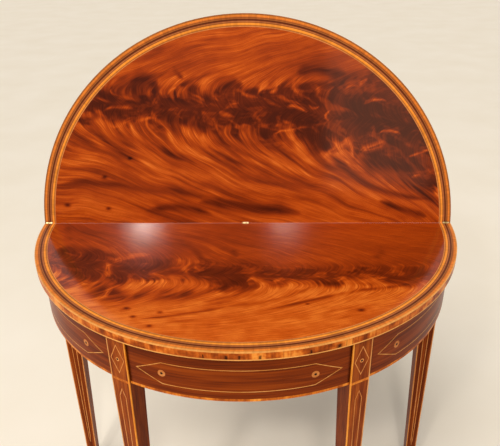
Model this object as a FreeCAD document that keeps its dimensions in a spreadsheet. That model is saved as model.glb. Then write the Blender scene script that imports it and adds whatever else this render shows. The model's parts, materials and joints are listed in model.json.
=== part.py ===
import FreeCAD, Part
import os
import re
import Sketcher

# Fold-over demilune table: a half-round top whose second leaf folds up on brass hinges, a bow apron
# let into two inlaid front legs, and two inlaid back legs that swing out on wooden knuckle gates.
# Lengths are millimetres, angles degrees. The front of the table faces -Y.
SIZES = {
    # The two leaves
    "top_radius": 457.0,
    "circle_setback": 12.0,
    "table_height": 740.0,
    "leaf_thickness": 17.0,
    "leaf_gap": 0.1,
    "lean_angle": 7.4,
    "veneer": 0.9,
    "edge_veneer": 1.2,
    "arris_width": 3.0,
    "arris_height": 2.2,
    "crossband_width": 7.2,
    "rosewood_width": 4.3,
    "satinwood_width": 8.5,
    "box_line_width": 2.8,
    # Brass butt hinges at both ends and the middle of the crease
    "knuckle_inset": 4.0,
    "knuckle_length": 14.0,
    "knuckle_radius": 3.1,
    "knuckle_clearance": 0.35,
    "hinge_pin_radius": 1.2,
    "pin_clearance": 0.04,
    "plate_length": 36.0,
    "plate_height": 11.0,
    "plate_drop": 3.0,
    "plate_thickness": 1.8,
    "screw_inset": 7.0,
    "screw_radius": 1.4,
    "screw_head_radius": 2.7,
    "screw_head_height": 1.3,
    "screw_length": 14.0,
    # Bow apron
    "overhang": 12.0,
    "apron_height": 98.0,
    "rail_thickness": 23.0,
    "banding_height": 5.6,
    "string_width": 1.5,
    "panel_top_margin": 30.7,
    "panel_foot_margin": 20.3,
    "front_tip_angle": 23.4,
    "front_corner_angle": 16.9,
    "side_panel_angle": 57.0,
    "side_tip_angle": 24.3,
    "side_corner_angle": 18.1,
    "roundel_radius": 7.0,
    "roundel_dot_radius": 2.4,
    # Front legs, bridle jointed over the apron's tongues
    "leg_angle": 27.9,
    "leg_width": 40.0,
    "leg_depth": 38.0,
    "leg_proud": 4.0,
    "foot_width": 23.0,
    "foot_depth": 22.0,
    "bridle_cheek": 13.0,
    "tongue_thickness": 12.0,
    "inlay_depth": 1.0,
    "leg_arris_width": 2.2,
    "leg_arris_depth": 2.2,
    "lozenge_margin": 17.1,
    "lozenge_reach": 15.0,
    "lozenge_dot_radius": 2.2,
    "lozenge_ring_width": 1.9,
    "pendant_tip_drop": 17.0,
    "pendant_shoulder_drop": 37.0,
    "pendant_shoulder_half": 7.6,
    "pendant_ankle_half": 2.6,
    "pendant_ankle_height": 110.0,
    "pendant_toe_height": 90.0,
    "string_toe_height": 2.0,
    # Back legs and the gates that carry them
    "back_leg_depth": 40.0,
    "gate_gap": 0.5,
    "fly_thickness": 23.0,
    "gate_axis_reach": 75.0,
    "gate_pin_radius": 3.0,
    "barrel_clearance": 0.4,
    "tenon_length": 22.0,
    "tenon_thickness": 9.0,
    "tenon_shoulder": 12.0,
    # Inner carcass
    "back_rail_thickness": 22.0,
    "brace_width": 60.0,
    "brace_thickness": 22.0,
    "block_length": 46.0,
    "block_depth": 26.0,
    "block_height": 30.0,
    "inner_block_angle": 14.0,
    "middle_block_angle": 44.0,
    "outer_block_angle": 68.0,
    "top_screw_radius": 2.0,
    "top_screw_head_radius": 4.4,
    "top_screw_head_height": 2.8,
    "top_screw_bite": 10.0,
    # Every cutting tool runs this far past the face that it cuts
    "overrun": 6.0,
}

# The knuckle joint of a gate has this many fingers, the odd ones on the fixed rail.
FINGERS = 5
SIDES = {"left": -1, "right": 1}

doc = FreeCAD.newDocument("demilune_table")
sheet = doc.addObject("Spreadsheet::Sheet", "Sizes")
for row, (alias, size) in enumerate(SIZES.items(), start=1):
    sheet.set(f"A{row}", alias)
    sheet.set(f"B{row}", str(size))
    sheet.setAlias(f"B{row}", alias)
doc.recompute()

# Sizes worked out from the driving ones. All pieces are drawn about the centre of the top's circle, with
# the floor at zero height, and take their final place from their Placement.
TOP = "table_height"
UNDERSIDE = "(table_height - leaf_thickness)"
APRON_FOOT = "(table_height - leaf_thickness - apron_height)"
CREASE = "(-circle_setback)"
TOP_DEPTH = "(top_radius - circle_setback)"
APRON_RADIUS = "(top_radius - overhang)"
RAIL_RADIUS = "(top_radius - overhang - veneer)"
INNER_RADIUS = "(top_radius - overhang - veneer - rail_thickness)"
FACE_RADIUS = "(top_radius - overhang + leg_proud)"
KNUCKLE_REACH = "(top_radius - knuckle_inset - knuckle_length / 2)"
HINGE_Y = "(leaf_gap / 2 - circle_setback)"
HINGE_Z = "(table_height + leaf_gap / 2)"
GATE_TOP = "(table_height - leaf_thickness - gate_gap)"
GATE_FACE = "(-circle_setback - gate_gap - back_leg_depth)"
APRON_END = f"({GATE_FACE} - gate_gap)"
BACK_LEG_REACH = f"sqrt({FACE_RADIUS} ^ 2 - {GATE_FACE} ^ 2)"
BACK_RAIL_REAR = f"({APRON_END} - gate_gap)"
GATE_AXIS_Y = f"({BACK_RAIL_REAR} + gate_gap + fly_thickness / 2)"
FINGER_HEIGHT = f"(({GATE_TOP} - {APRON_FOOT}) / {FINGERS})"
PANEL_RISE = "((apron_height - panel_top_margin - panel_foot_margin) / 2)"
PANEL_HEIGHT = f"({APRON_FOOT} + panel_foot_margin + {PANEL_RISE})"
LOZENGE_RISE = "(apron_height / 2 - lozenge_margin)"
LOZENGE_HEIGHT = f"({APRON_FOOT} + apron_height / 2)"
LEAN_REACH = (f"(leaf_gap / 2 + ({TOP_DEPTH} + leaf_gap / 2) * sin(lean_angle)"
              f" + (leaf_thickness + leaf_gap / 2) * cos(lean_angle))")
CENTRE_Y = f"(({TOP_DEPTH} - {LEAN_REACH}) / 2 + circle_setback)"


def sized(text):
    """Point each named size in an expression at its cell in the sheet."""
    return re.sub(r"[a-z_]+", lambda word: f"Sizes.{word[0]}" if word[0] in SIZES else word[0], text)


def place(obj, x="0", y="0", z="0", turn="0", axis="0; 0; 1"):
    """Bind an object's Placement: a turn about an axis, then a shift."""
    text = f"placement(vector({x}; {y}; {z}); rotation(vector({axis}); {turn}))"
    obj.setExpression("Placement", sized(text))
    return obj


def shape(kind, name, **sizes):
    """A document object with each of its sizes bound to the sheet."""
    obj = doc.addObject(kind, name)
    for size, text in sizes.items():
        obj.setExpression(size, sized(text))
    return obj


def box(name, x, y, z):
    """A box between the low and high expressions given for each axis."""
    block = shape("Part::Box", name, Length=f"{x[1]} - ({x[0]})", Width=f"{y[1]} - ({y[0]})",
                  Height=f"{z[1]} - ({z[0]})")
    return place(block, x[0], y[0], z[0])


def cylinder(name, radius, low, high, x="0", y="0"):
    """An upright cylinder between two heights."""
    rod = shape("Part::Cylinder", name, Radius=radius, Height=f"{high} - ({low})")
    return place(rod, x, y, low)


def sector(name, radius, low, high, start, sweep):
    """A slice of an upright disc about the centre, from a starting angle through a sweep."""
    slice_ = shape("Part::Cylinder", name, Radius=radius, Height=f"{high} - ({low})", Angle=sweep)
    return place(slice_, z=low, turn=start)


def rod_along_x(name, radius, low, high, y, z):
    """A cylinder that lies along X."""
    rod = shape("Part::Cylinder", name, Radius=radius, Height=f"{high} - ({low})")
    return place(rod, low, y, z, "90", "0; 1; 0")


def joined(kind, name, shapes):
    """A boolean or a group of several shapes."""
    obj = doc.addObject(kind, name)
    setattr(obj, "Links" if kind == "Part::Compound" else "Shapes", shapes)
    return obj


def fuse(name, *shapes):
    """One solid from several."""
    return joined("Part::MultiFuse", name, list(shapes))


def common(name, *shapes):
    """What all the shapes share."""
    return joined("Part::MultiCommon", name, list(shapes))


def group(name, *shapes):
    """Separate solids kept together."""
    return joined("Part::Compound", name, list(shapes))


def cut(name, base, *tools):
    """The base less every tool."""
    obj = doc.addObject("Part::Cut", name)
    obj.Base = base
    obj.Tool = tools[0] if len(tools) == 1 else fuse(f"{name}_tools", *tools)
    return obj


def prism(name, loops, depth):
    """Closed outlines in the X-Z plane, the second a hole in the first, carried back along +Y."""
    body = doc.addObject("PartDesign::Body", name)
    sketch = body.newObject("Sketcher::SketchObject", f"{name}_outline")
    plane = next(item for item in body.Origin.OriginFeatures if item.Role == "XZ_Plane")
    sketch.AttachmentSupport = [(plane, "")]
    sketch.MapMode = "FlatFace"
    first = 0
    for order, points in enumerate(loops):
        count = len(points)
        step = 360.0 / count
        start = [FreeCAD.Rotation(FreeCAD.Vector(0, 0, 1), step * i).multVec(FreeCAD.Vector(1, 0, 0))
                 for i in range(count)]
        start = [point / (1 + order) for point in start]
        for i in range(count):
            sketch.addGeometry(Part.LineSegment(start[i], start[(i + 1) % count]), False)
        for i in range(count):
            follows = first + (i + 1) % count
            sketch.addConstraint(Sketcher.Constraint("Coincident", first + i, 2, follows, 1))
        for i, (x, z) in enumerate(points):
            for direction, text, guess in (("DistanceX", x, start[i].x), ("DistanceY", z, start[i].y)):
                rule = Sketcher.Constraint(direction, -1, 1, first + i, 1, guess)
                number = sketch.addConstraint(rule)
                sketch.setExpression(f"Constraints[{number}]", sized(text))
        first += count
    pad = body.newObject("PartDesign::Pad", f"{name}_pad")
    pad.Profile = sketch
    pad.Reversed = True
    pad.setExpression("Length", sized(depth))
    return body


SUBPARTS = []


def keep(obj, label):
    """List an object as a sub-part under the name of its node."""
    obj.Label = label
    SUBPARTS.append(obj)
    return obj


def keep_in_frame(obj, label):
    """A sub-part drawn about the circle's centre moves to the table's own origin."""
    return keep(place(obj, y=CENTRE_Y), label)


def keep_on_upper_leaf(obj, label):
    """A sub-part drawn as on the lower leaf is turned over the crease to the leaf that leans back."""
    y = (f"{CENTRE_Y} - circle_setback + leaf_gap / 2 + leaf_gap / 2 * (sin(lean_angle) + cos(lean_angle))"
         " - circle_setback * sin(lean_angle) + table_height * cos(lean_angle)")
    z = ("table_height + leaf_gap / 2 + leaf_gap / 2 * (cos(lean_angle) - sin(lean_angle))"
         " - circle_setback * cos(lean_angle) - table_height * sin(lean_angle)")
    half = "(90 - lean_angle) / 2"
    return keep(place(obj, "0", y, z, "180", f"0; -sin({half}); cos({half})"), label)


def half_disc(name, radius, low, high):
    """A disc cut off along the crease."""
    disc = cylinder(f"{name}_disc", radius, low, high)
    span = (f"-({radius}) - overrun", f"{radius} + overrun")
    front = box(f"{name}_front", span, (span[0], CREASE), (f"{low} - overrun", f"{high} + overrun"))
    return common(name, disc, front)


def half_ring(name, outer, inner, low, high):
    """A half disc less a smaller disc on the same centre."""
    hole = cylinder(f"{name}_hole", inner, f"{low} - overrun", f"{high} + overrun")
    return cut(name, half_disc(f"{name}_blank", outer, low, high), hole)


def hinge_spans():
    """Each hinge's name, with the low and high X of its plate and of its knuckles."""
    half = "knuckle_length / 2"
    outer = f"({KNUCKLE_REACH} + {half})"
    return {
        "left": ((f"-{outer}", f"-{outer} + plate_length"), (f"-{outer}", f"-{KNUCKLE_REACH} + {half}")),
        "centre": (("-plate_length / 2", "plate_length / 2"), (f"-{half}", half)),
        "right": ((f"{outer} - plate_length", outer), (f"{KNUCKLE_REACH} - {half}", outer)),
    }


def knuckle_thirds(span):
    """The knuckle's length in three equal fingers, as low and high expressions."""
    third = "knuckle_length / 3"
    edges = [f"({span[0]} + {i} * {third})" for i in range(4)]
    return list(zip(edges[:-1], edges[1:]))


def hinge_screws(name, plate):
    """Two countersunk screws through a hinge plate, driven in from the back edge of the leaf."""
    screws = []
    height = "(table_height - plate_drop - plate_height / 2)"
    for end, x in (("first", f"{plate[0]} + screw_inset"), ("second", f"{plate[1]} - screw_inset")):
        head = shape("Part::Cone", f"{name}_{end}_head", Radius1="screw_head_radius",
                     Radius2="screw_radius", Height="screw_head_height")
        place(head, x, CREASE, height, "90", "1; 0; 0")
        shank = shape("Part::Cylinder", f"{name}_{end}_shank", Radius="screw_radius", Height="screw_length")
        place(shank, x, CREASE, height, "90", "1; 0; 0")
        screws.append(fuse(f"{name}_{end}", head, shank))
    return screws


def hinge_inlay(name, plate, span, rear, head):
    """The room of a hinge half in the back edge of a leaf: its plate, and the neck up to its knuckles."""
    depth = (f"{CREASE} - plate_thickness", rear)
    low = "table_height - plate_drop - plate_height"
    flat = box(f"{name}_flat", plate, depth, (low, "table_height - plate_drop"))
    neck = box(f"{name}_neck", span, depth, (low, head))
    return [flat, neck]


def hinge_half(name, plate, span, fingers, screws):
    """A plate let into the back edge of a leaf, with its share of the three knuckles."""
    clear = "knuckle_clearance"
    solids = hinge_inlay(name, plate, span, CREASE, TOP)
    rooms = []
    for i, (low, high) in enumerate(knuckle_thirds(span)):
        if i in fingers:
            solids.append(rod_along_x(f"{name}_knuckle_{i}", "knuckle_radius", f"{low} + {clear} / 2",
                                      f"{high} - {clear} / 2", HINGE_Y, HINGE_Z))
        else:
            rooms.append(rod_along_x(f"{name}_room_{i}", f"knuckle_radius + {clear}", f"{low} - {clear} / 2",
                                     f"{high} + {clear} / 2", HINGE_Y, HINGE_Z))
    bore = rod_along_x(f"{name}_bore", "hinge_pin_radius + pin_clearance", f"{span[0]} - overrun",
                       f"{span[1]} + overrun", HINGE_Y, HINGE_Z)
    return cut(name, fuse(f"{name}_solid", *solids), bore, *rooms, *screws)


def leaf(prefix, fingers, keep_piece, backed, fixings):
    """A whole leaf: core, field, bandings, arris strings and its halves of the three hinges."""
    rooms = []
    inlets = []
    screws = {}
    for side, (plate, span) in hinge_spans().items():
        rooms.append(rod_along_x(f"{prefix}_{side}_room", "knuckle_radius + knuckle_clearance",
                                 f"{span[0]} - knuckle_clearance", f"{span[1]} + knuckle_clearance",
                                 HINGE_Y, HINGE_Z))
        inlets += hinge_inlay(f"{prefix}_{side}_inlet", plate, span, f"{CREASE} + overrun",
                              "table_height + overrun")
        screws[side] = hinge_screws(f"{prefix}_{side}_screw", plate)
    notch = fuse(f"{prefix}_hinge_notch", *rooms, *inlets)
    all_screws = [screw for pair in screws.values() for screw in pair]

    face = "(table_height - veneer)"
    foot = f"({UNDERSIDE} + veneer)" if backed else UNDERSIDE
    strings = [
        half_ring(f"{prefix}_upper_arris", "top_radius", "top_radius - arris_width",
                  "table_height - arris_height", TOP),
        half_ring(f"{prefix}_lower_arris", "top_radius", "top_radius - arris_width",
                  UNDERSIDE, f"{UNDERSIDE} + arris_height"),
    ]
    core = half_disc(f"{prefix}_core_blank", "top_radius - edge_veneer", foot, face)
    keep_piece(cut(f"{prefix}_core", core, notch, *strings, *all_screws, *fixings), f"{prefix}_leaf_core")
    keep_piece(group(f"{prefix}_arrises", *strings), f"{prefix}_arris_strings")
    edge = half_ring(f"{prefix}_edge", "top_radius", "top_radius - edge_veneer",
                     f"{UNDERSIDE} + arris_height", "table_height - arris_height")
    keep_piece(edge, f"{prefix}_edge_banding")

    outer = "top_radius - arris_width"
    for band in ("crossband", "rosewood", "satinwood", "box_line"):
        inner = f"{outer} - {band}_width"
        ring = half_ring(f"{prefix}_{band}_ring", outer, inner, face, TOP)
        keep_piece(cut(f"{prefix}_{band}", ring, notch), f"{prefix}_{band}_band")
        outer = inner
    field = half_disc(f"{prefix}_field_blank", outer, face, TOP)
    keep_piece(cut(f"{prefix}_field", field, notch), f"{prefix}_field_veneer")
    if backed:
        back = half_disc(f"{prefix}_back", "top_radius - arris_width", UNDERSIDE, foot)
        keep_piece(back, f"{prefix}_outer_veneer")

    for side, (plate, span) in hinge_spans().items():
        half = hinge_half(f"{prefix}_{side}_hinge", plate, span, fingers, screws[side])
        keep_piece(half, f"{side}_hinge_{prefix}_half")
    keep_piece(group(f"{prefix}_screws", *all_screws), f"{prefix}_hinge_screws")


def hinge_pins():
    """A brass pin through the three knuckles of each hinge."""
    pins = [rod_along_x(f"{side}_pin", "hinge_pin_radius", span[0], span[1], HINGE_Y, HINGE_Z)
            for side, (plate, span) in hinge_spans().items()]
    keep_in_frame(group("hinge_pin_set", *pins), "hinge_pins")


def round_place(obj, x, y, z, turn):
    """Place an object by its spot on the front of the circle, then swing it round the centre."""
    return place(obj, f"{x} * cos({turn}) - ({y}) * sin({turn})",
                 f"{x} * sin({turn}) + ({y}) * cos({turn})", z, turn)


def top_screw(name, turn):
    """A countersunk screw up through a glue block into the underside of the top."""
    foot = f"({UNDERSIDE} - block_height)"
    spot = f"(block_depth / 2 - {INNER_RADIUS})"
    head = shape("Part::Cone", f"{name}_head", Radius1="top_screw_head_radius", Radius2="top_screw_radius",
                 Height="top_screw_head_height")
    shank = shape("Part::Cylinder", f"{name}_shank", Radius="top_screw_radius",
                  Height="block_height + top_screw_bite")
    return fuse(name, round_place(head, "0", spot, foot, turn), round_place(shank, "0", spot, foot, turn))


def glue_blocks():
    """Six blocks in the angle of apron and top, each with the screw that holds the top down."""
    blocks = []
    screws = []
    for side, sign in SIDES.items():
        for spot in ("inner", "middle", "outer"):
            turn = f"({sign} * {spot}_block_angle)"
            blank = shape("Part::Box", f"{side}_{spot}_block", Length="block_length",
                          Width="block_depth + overrun", Height="block_height")
            round_place(blank, "-block_length / 2", f"(-{INNER_RADIUS} - overrun)",
                        f"{UNDERSIDE} - block_height", turn)
            screw = top_screw(f"{side}_{spot}_screw", turn)
            bow = cylinder(f"{side}_{spot}_bow", INNER_RADIUS, "0", TOP)
            bowed = common(f"{side}_{spot}_bowed", blank, bow)
            blocks.append(cut(f"{side}_{spot}_fitted_block", bowed, screw))
            screws.append(screw)
    keep_in_frame(group("block_set", *blocks), "glue_blocks")
    keep_in_frame(group("top_screw_set", *screws), "top_screws")
    return screws


def along(start, end, share):
    """An expression part of the way from one expression to another."""
    return f"({start} + ({end} - ({start})) * {share})"


def leg_blank(name, top, foot, depth, head):
    """A square die as high as the apron over a shaft that tapers to the foot, flat on its show face."""
    die = box(f"{name}_die", top, ("0", depth), (APRON_FOOT, head))
    shaft = shape("Part::Wedge", f"{name}_shaft", Xmin=foot[0], Xmax=foot[1], X2min=top[0], X2max=top[1],
                  Zmin="-foot_depth", Zmax="0", Z2min=f"-({depth})", Z2max="0", Ymin="0", Ymax=APRON_FOOT)
    place(shaft, turn="90", axis="1; 0; 0")
    return fuse(f"{name}_blank", die, shaft)


def leg_inlay(name, top, foot, head):
    """Arris strings down both front corners of a leg, and the pointed pendant string between them."""
    toe = f"string_toe_height / {APRON_FOOT}"
    solids = []
    for end, sign in ((0, 1), (1, -1)):
        ankle = along(foot[end], top[end], toe)
        width = f"{sign} * leg_arris_width"
        outline = [(top[end], head), (top[end], APRON_FOOT), (ankle, "string_toe_height"),
                   (f"{ankle} + {width}", "string_toe_height"), (f"{top[end]} + {width}", APRON_FOOT),
                   (f"{top[end]} + {width}", head)]
        solids.append(prism(f"{name}_arris_{end}", [outline], "leg_arris_depth"))

    def middle(height):
        """The leg's centre line at a height."""
        share = f"({height}) / {APRON_FOOT}"
        return f"({along(foot[0], top[0], share)} + {along(foot[1], top[1], share)}) / 2"

    heights = [f"{APRON_FOOT} - pendant_tip_drop", f"{APRON_FOOT} - pendant_shoulder_drop",
               "pendant_ankle_height", "pendant_toe_height"]
    loops = []
    for inset in ("0", "string_width"):
        tip = f"{heights[0]} - {inset} * 2"
        toe_tip = f"{heights[3]} + {inset} * 2"
        shoulder = f"(pendant_shoulder_half - {inset})"
        ankle = f"(pendant_ankle_half - {inset})"
        loops.append([(middle(tip), tip),
                      (f"{middle(heights[1])} + {shoulder}", heights[1]),
                      (f"{middle(heights[2])} + {ankle}", heights[2]),
                      (middle(toe_tip), toe_tip),
                      (f"{middle(heights[2])} - {ankle}", heights[2]),
                      (f"{middle(heights[1])} - {shoulder}", heights[1])])
    solids.append(prism(f"{name}_pendant", loops, "inlay_depth"))
    return solids


def diamond(inset):
    """The lozenge's outline on a die, drawn in by an inset along each side."""
    pull = f"({inset}) * sqrt({LOZENGE_RISE} ^ 2 + lozenge_reach ^ 2)"
    reach = f"(lozenge_reach - {pull} / {LOZENGE_RISE})"
    rise = f"({LOZENGE_RISE} - {pull} / lozenge_reach)"
    return [("0", f"{LOZENGE_HEIGHT} + {rise}"), (reach, LOZENGE_HEIGHT),
            ("0", f"{LOZENGE_HEIGHT} - {rise}"), (f"-{reach}", LOZENGE_HEIGHT)]


def face_rod(name, radius, depth):
    """A short rod let into the middle of a die from its show face."""
    rod = shape("Part::Cylinder", name, Radius=radius, Height=depth)
    return place(rod, "0", "0", LOZENGE_HEIGHT, "-90", "1; 0; 0")


def front_leg(side, sign):
    """A front leg with its bridle, its inlays, and the seat that it cuts in the apron."""
    name = f"{side}_front_leg"
    top = ("-leg_width / 2", "leg_width / 2")
    foot = ("-foot_width / 2", "foot_width / 2")
    blank = leg_blank(name, top, foot, "leg_depth", UNDERSIDE)
    tongue_outer = f"({FACE_RADIUS} - bridle_cheek)"
    spindle = cylinder(f"{name}_spindle", f"{tongue_outer} - tongue_thickness", "0", TOP, y=FACE_RADIUS)
    tongue = cut(f"{name}_tongue",
                 cylinder(f"{name}_tongue_disc", tongue_outer, APRON_FOOT, TOP, y=FACE_RADIUS), spindle)

    strings = leg_inlay(name, top, foot, UNDERSIDE)
    strings.append(prism(f"{name}_lozenge", [diamond("0"), diamond("string_width")], "inlay_depth"))
    dot = face_rod(f"{name}_dot_rod", "lozenge_dot_radius", "inlay_depth")
    ring = cut(f"{name}_ring", face_rod(f"{name}_ring_rod", "lozenge_dot_radius + lozenge_ring_width",
                                        "inlay_depth"), dot)
    band = box(f"{name}_band_strip", (f"{top[0]} + leg_arris_width", f"{top[1]} - leg_arris_width"),
               ("0", "inlay_depth"), (APRON_FOOT, f"{APRON_FOOT} + banding_height"))

    turn = f"({sign} * leg_angle)"

    def seated(obj, shift):
        return place(obj, f"{FACE_RADIUS} * sin({turn})", f"{shift} - {FACE_RADIUS} * cos({turn})", "0", turn)

    keep(seated(cut(f"{name}_solid", blank, tongue, dot, ring, band, *strings), CENTRE_Y), name)
    keep(seated(group(f"{name}_strings", ring, *strings), CENTRE_Y), f"{name}_stringing")
    keep(seated(group(f"{name}_band_piece", band), CENTRE_Y), f"{name}_band")
    keep(seated(group(f"{name}_dot_piece", dot), CENTRE_Y), f"{name}_dot")
    return seated(cut(f"{name}_seat", blank, tongue), "0")


def apron_sector(name, outer, inner, low, high, start, sweep):
    """A stretch of the bow between two heights, which stops short of the back leg."""
    slice_ = sector(f"{name}_slice", outer, low, high, start, sweep)
    core = cylinder(f"{name}_core", inner, f"{low} - overrun", f"{high} + overrun")
    span = (f"-({outer}) - overrun", f"{outer} + overrun")
    behind = box(f"{name}_behind", span, (APRON_END, span[1]), (f"{low} - overrun", f"{high} + overrun"))
    return cut(name, slice_, core, behind)


def hexagon(tip_angle, corner_angle, inset):
    """A long panel's outline, pointed at both ends, drawn in by an inset along each side."""
    tip = f"{APRON_RADIUS} * sin({tip_angle})"
    run = f"({tip} - {APRON_RADIUS} * sin({corner_angle}))"
    point = f"({tip} - {inset} * sqrt({run} ^ 2 + {PANEL_RISE} ^ 2) / {PANEL_RISE})"
    rise = f"({PANEL_RISE} - {inset})"
    corner = f"({point} - {run} / {PANEL_RISE} * {rise})"
    return [(point, "0"), (corner, rise), (f"-{corner}", rise),
            (f"-{point}", "0"), (f"-{corner}", f"-{rise}"), (corner, f"-{rise}")]


def panel_string(name, tip_angle, corner_angle, turn):
    """A hexagon string carried through the bow, at its panel's place on the apron."""
    loops = [hexagon(tip_angle, corner_angle, "0"), hexagon(tip_angle, corner_angle, "string_width")]
    body = prism(name, loops, f"{APRON_RADIUS} * (1 - cos({tip_angle})) + 2 * overrun")
    return round_place(body, "0", f"(-{APRON_RADIUS} - overrun)", PANEL_HEIGHT, turn)


def radial_rod(name, radius, turn):
    """A rod through the apron's skin, square to the bow at an angle from the front."""
    rod = shape("Part::Cylinder", name, Radius=radius, Height="2 * overrun")
    reach = f"({APRON_RADIUS} + overrun)"
    return place(rod, f"{reach} * sin({turn})", f"-{reach} * cos({turn})", PANEL_HEIGHT, "90",
                 f"-cos({turn}); -sin({turn}); 0")


def apron(seats):
    """Three bow rails tongued into the front legs, with their veneers, strings, bandings and roundels."""
    banding_top = f"({APRON_FOOT} + banding_height)"
    side_sweep = "(90 - leg_angle)"
    stretches = {
        "front": ("(-90 - leg_angle)", "(2 * leg_angle)", ("left", "right")),
        "left": ("180", side_sweep, ("left",)),
        "right": ("(leg_angle - 90)", side_sweep, ("right",)),
    }
    panels = {
        "front": ("front_tip_angle", "front_corner_angle", "0"),
        "left": ("side_tip_angle", "side_corner_angle", "(-side_panel_angle)"),
        "right": ("side_tip_angle", "side_corner_angle", "side_panel_angle"),
    }
    dots = []
    discs = []
    for name, (tip, corner, turn) in panels.items():
        for end, sign in (("first", "-"), ("last", "+")):
            spot = f"({turn} {sign} {corner})"
            dots.append(radial_rod(f"{name}_{end}_dot_rod", "roundel_dot_radius", spot))
            discs.append(radial_rod(f"{name}_{end}_roundel_rod", "roundel_radius", spot))
    all_dots = fuse("dot_rods", *dots)
    all_discs = fuse("roundel_rods", *discs)

    strings = []
    bandings = []
    roundels = []
    roundel_dots = []
    for name, (start, sweep, legs) in stretches.items():
        leg_seats = [seats[side] for side in legs]
        rail = apron_sector(f"{name}_rail_blank", RAIL_RADIUS, INNER_RADIUS, APRON_FOOT, UNDERSIDE,
                            start, sweep)
        keep_in_frame(cut(f"{name}_rail", rail, *leg_seats), f"{name}_apron_rail")
        skin = cut(f"{name}_skin", apron_sector(f"{name}_skin_blank", APRON_RADIUS, RAIL_RADIUS, banding_top,
                                                UNDERSIDE, start, sweep), *leg_seats)
        tool = panel_string(f"{name}_panel", *panels[name])
        strings.append(common(f"{name}_string", skin, tool))
        ring_skin = common(f"{name}_ring_skin", skin, all_discs)
        roundels.append(cut(f"{name}_roundels", ring_skin, all_dots))
        roundel_dots.append(common(f"{name}_dots", skin, all_dots))
        veneer = cut(f"{name}_veneer", skin, tool, all_discs)
        keep_in_frame(veneer, f"{name}_apron_veneer")
        band = apron_sector(f"{name}_band_blank", APRON_RADIUS, RAIL_RADIUS, APRON_FOOT, banding_top,
                            start, sweep)
        bandings.append(cut(f"{name}_band", band, *leg_seats))
    keep_in_frame(group("panel_strings", *strings), "apron_panel_strings")
    keep_in_frame(group("bandings", *bandings), "apron_bandings")
    keep_in_frame(group("roundel_set", *roundels), "apron_roundels")
    keep_in_frame(group("roundel_dot_set", *roundel_dots), "apron_roundel_dots")


def carcass():
    """The fixed back rail and the brace from the middle of the front rail to it."""
    height = (APRON_FOOT, UNDERSIDE)
    reach = (f"-{INNER_RADIUS} - overrun", f"{INNER_RADIUS} + overrun")
    front = f"({BACK_RAIL_REAR} - back_rail_thickness)"
    bow = cylinder("carcass_bow", INNER_RADIUS, "0", TOP)
    rail = box("back_rail_blank", reach, (front, BACK_RAIL_REAR), height)
    keep_in_frame(common("back_rail_solid", rail, bow), "back_rail")
    half = "brace_thickness / 2"
    brace = box("brace_blank", (f"-{half}", half), (reach[0], front),
                (f"{UNDERSIDE} - brace_width", UNDERSIDE))
    keep_in_frame(common("brace_solid", brace, bow), "medial_brace")


def finger_rods(name, x, picks):
    """Room for every picked finger of a gate's knuckle, counted up from the foot of the rail."""
    half = "barrel_clearance / 2"
    radius = "fly_thickness / 2 + barrel_clearance"
    rods = []
    for i in picks:
        low = f"({APRON_FOOT} + {i} * {FINGER_HEIGHT} - {half})"
        high = f"({APRON_FOOT} + {i + 1} * {FINGER_HEIGHT} + {half})"
        rods.append(cylinder(f"{name}_{i}", radius, low, high, x, GATE_AXIS_Y))
    return rods


def shoulder(name, x, turn):
    """A block with one corner on the gate's axis, which bevels the back of a rail for the swing."""
    block = shape("Part::Box", name, Length="fly_thickness", Width="fly_thickness",
                  Height=f"{GATE_TOP} - {APRON_FOOT} + 2 * overrun")
    return place(block, x, GATE_AXIS_Y, f"{APRON_FOOT} - overrun", turn)


def knuckle_rail(name, reach, axes, front, picks):
    """A rail with a round finger knuckle at each gate axis that it carries, bored for the pin."""
    rear = f"({GATE_AXIS_Y} + fly_thickness / 2)"
    blank = box(f"{name}_board", reach, (front, rear), (APRON_FOOT, GATE_TOP))
    bevels = [shoulder(f"{name}_bevel_{i}", x, "45") for i, x in enumerate(axes)]
    barrels = [cylinder(f"{name}_barrel_{i}", "fly_thickness / 2", APRON_FOOT, GATE_TOP, x, GATE_AXIS_Y)
               for i, x in enumerate(axes)]
    tools = []
    for i, x in enumerate(axes):
        tools.append(cylinder(f"{name}_bore_{i}", "gate_pin_radius + pin_clearance",
                              f"{APRON_FOOT} - overrun", f"{GATE_TOP} + overrun", x, GATE_AXIS_Y))
        tools += finger_rods(f"{name}_room_{i}", x, picks)
    rail = fuse(f"{name}_knuckled", cut(f"{name}_bevelled", blank, *bevels), *barrels)
    return rail, tools


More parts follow.
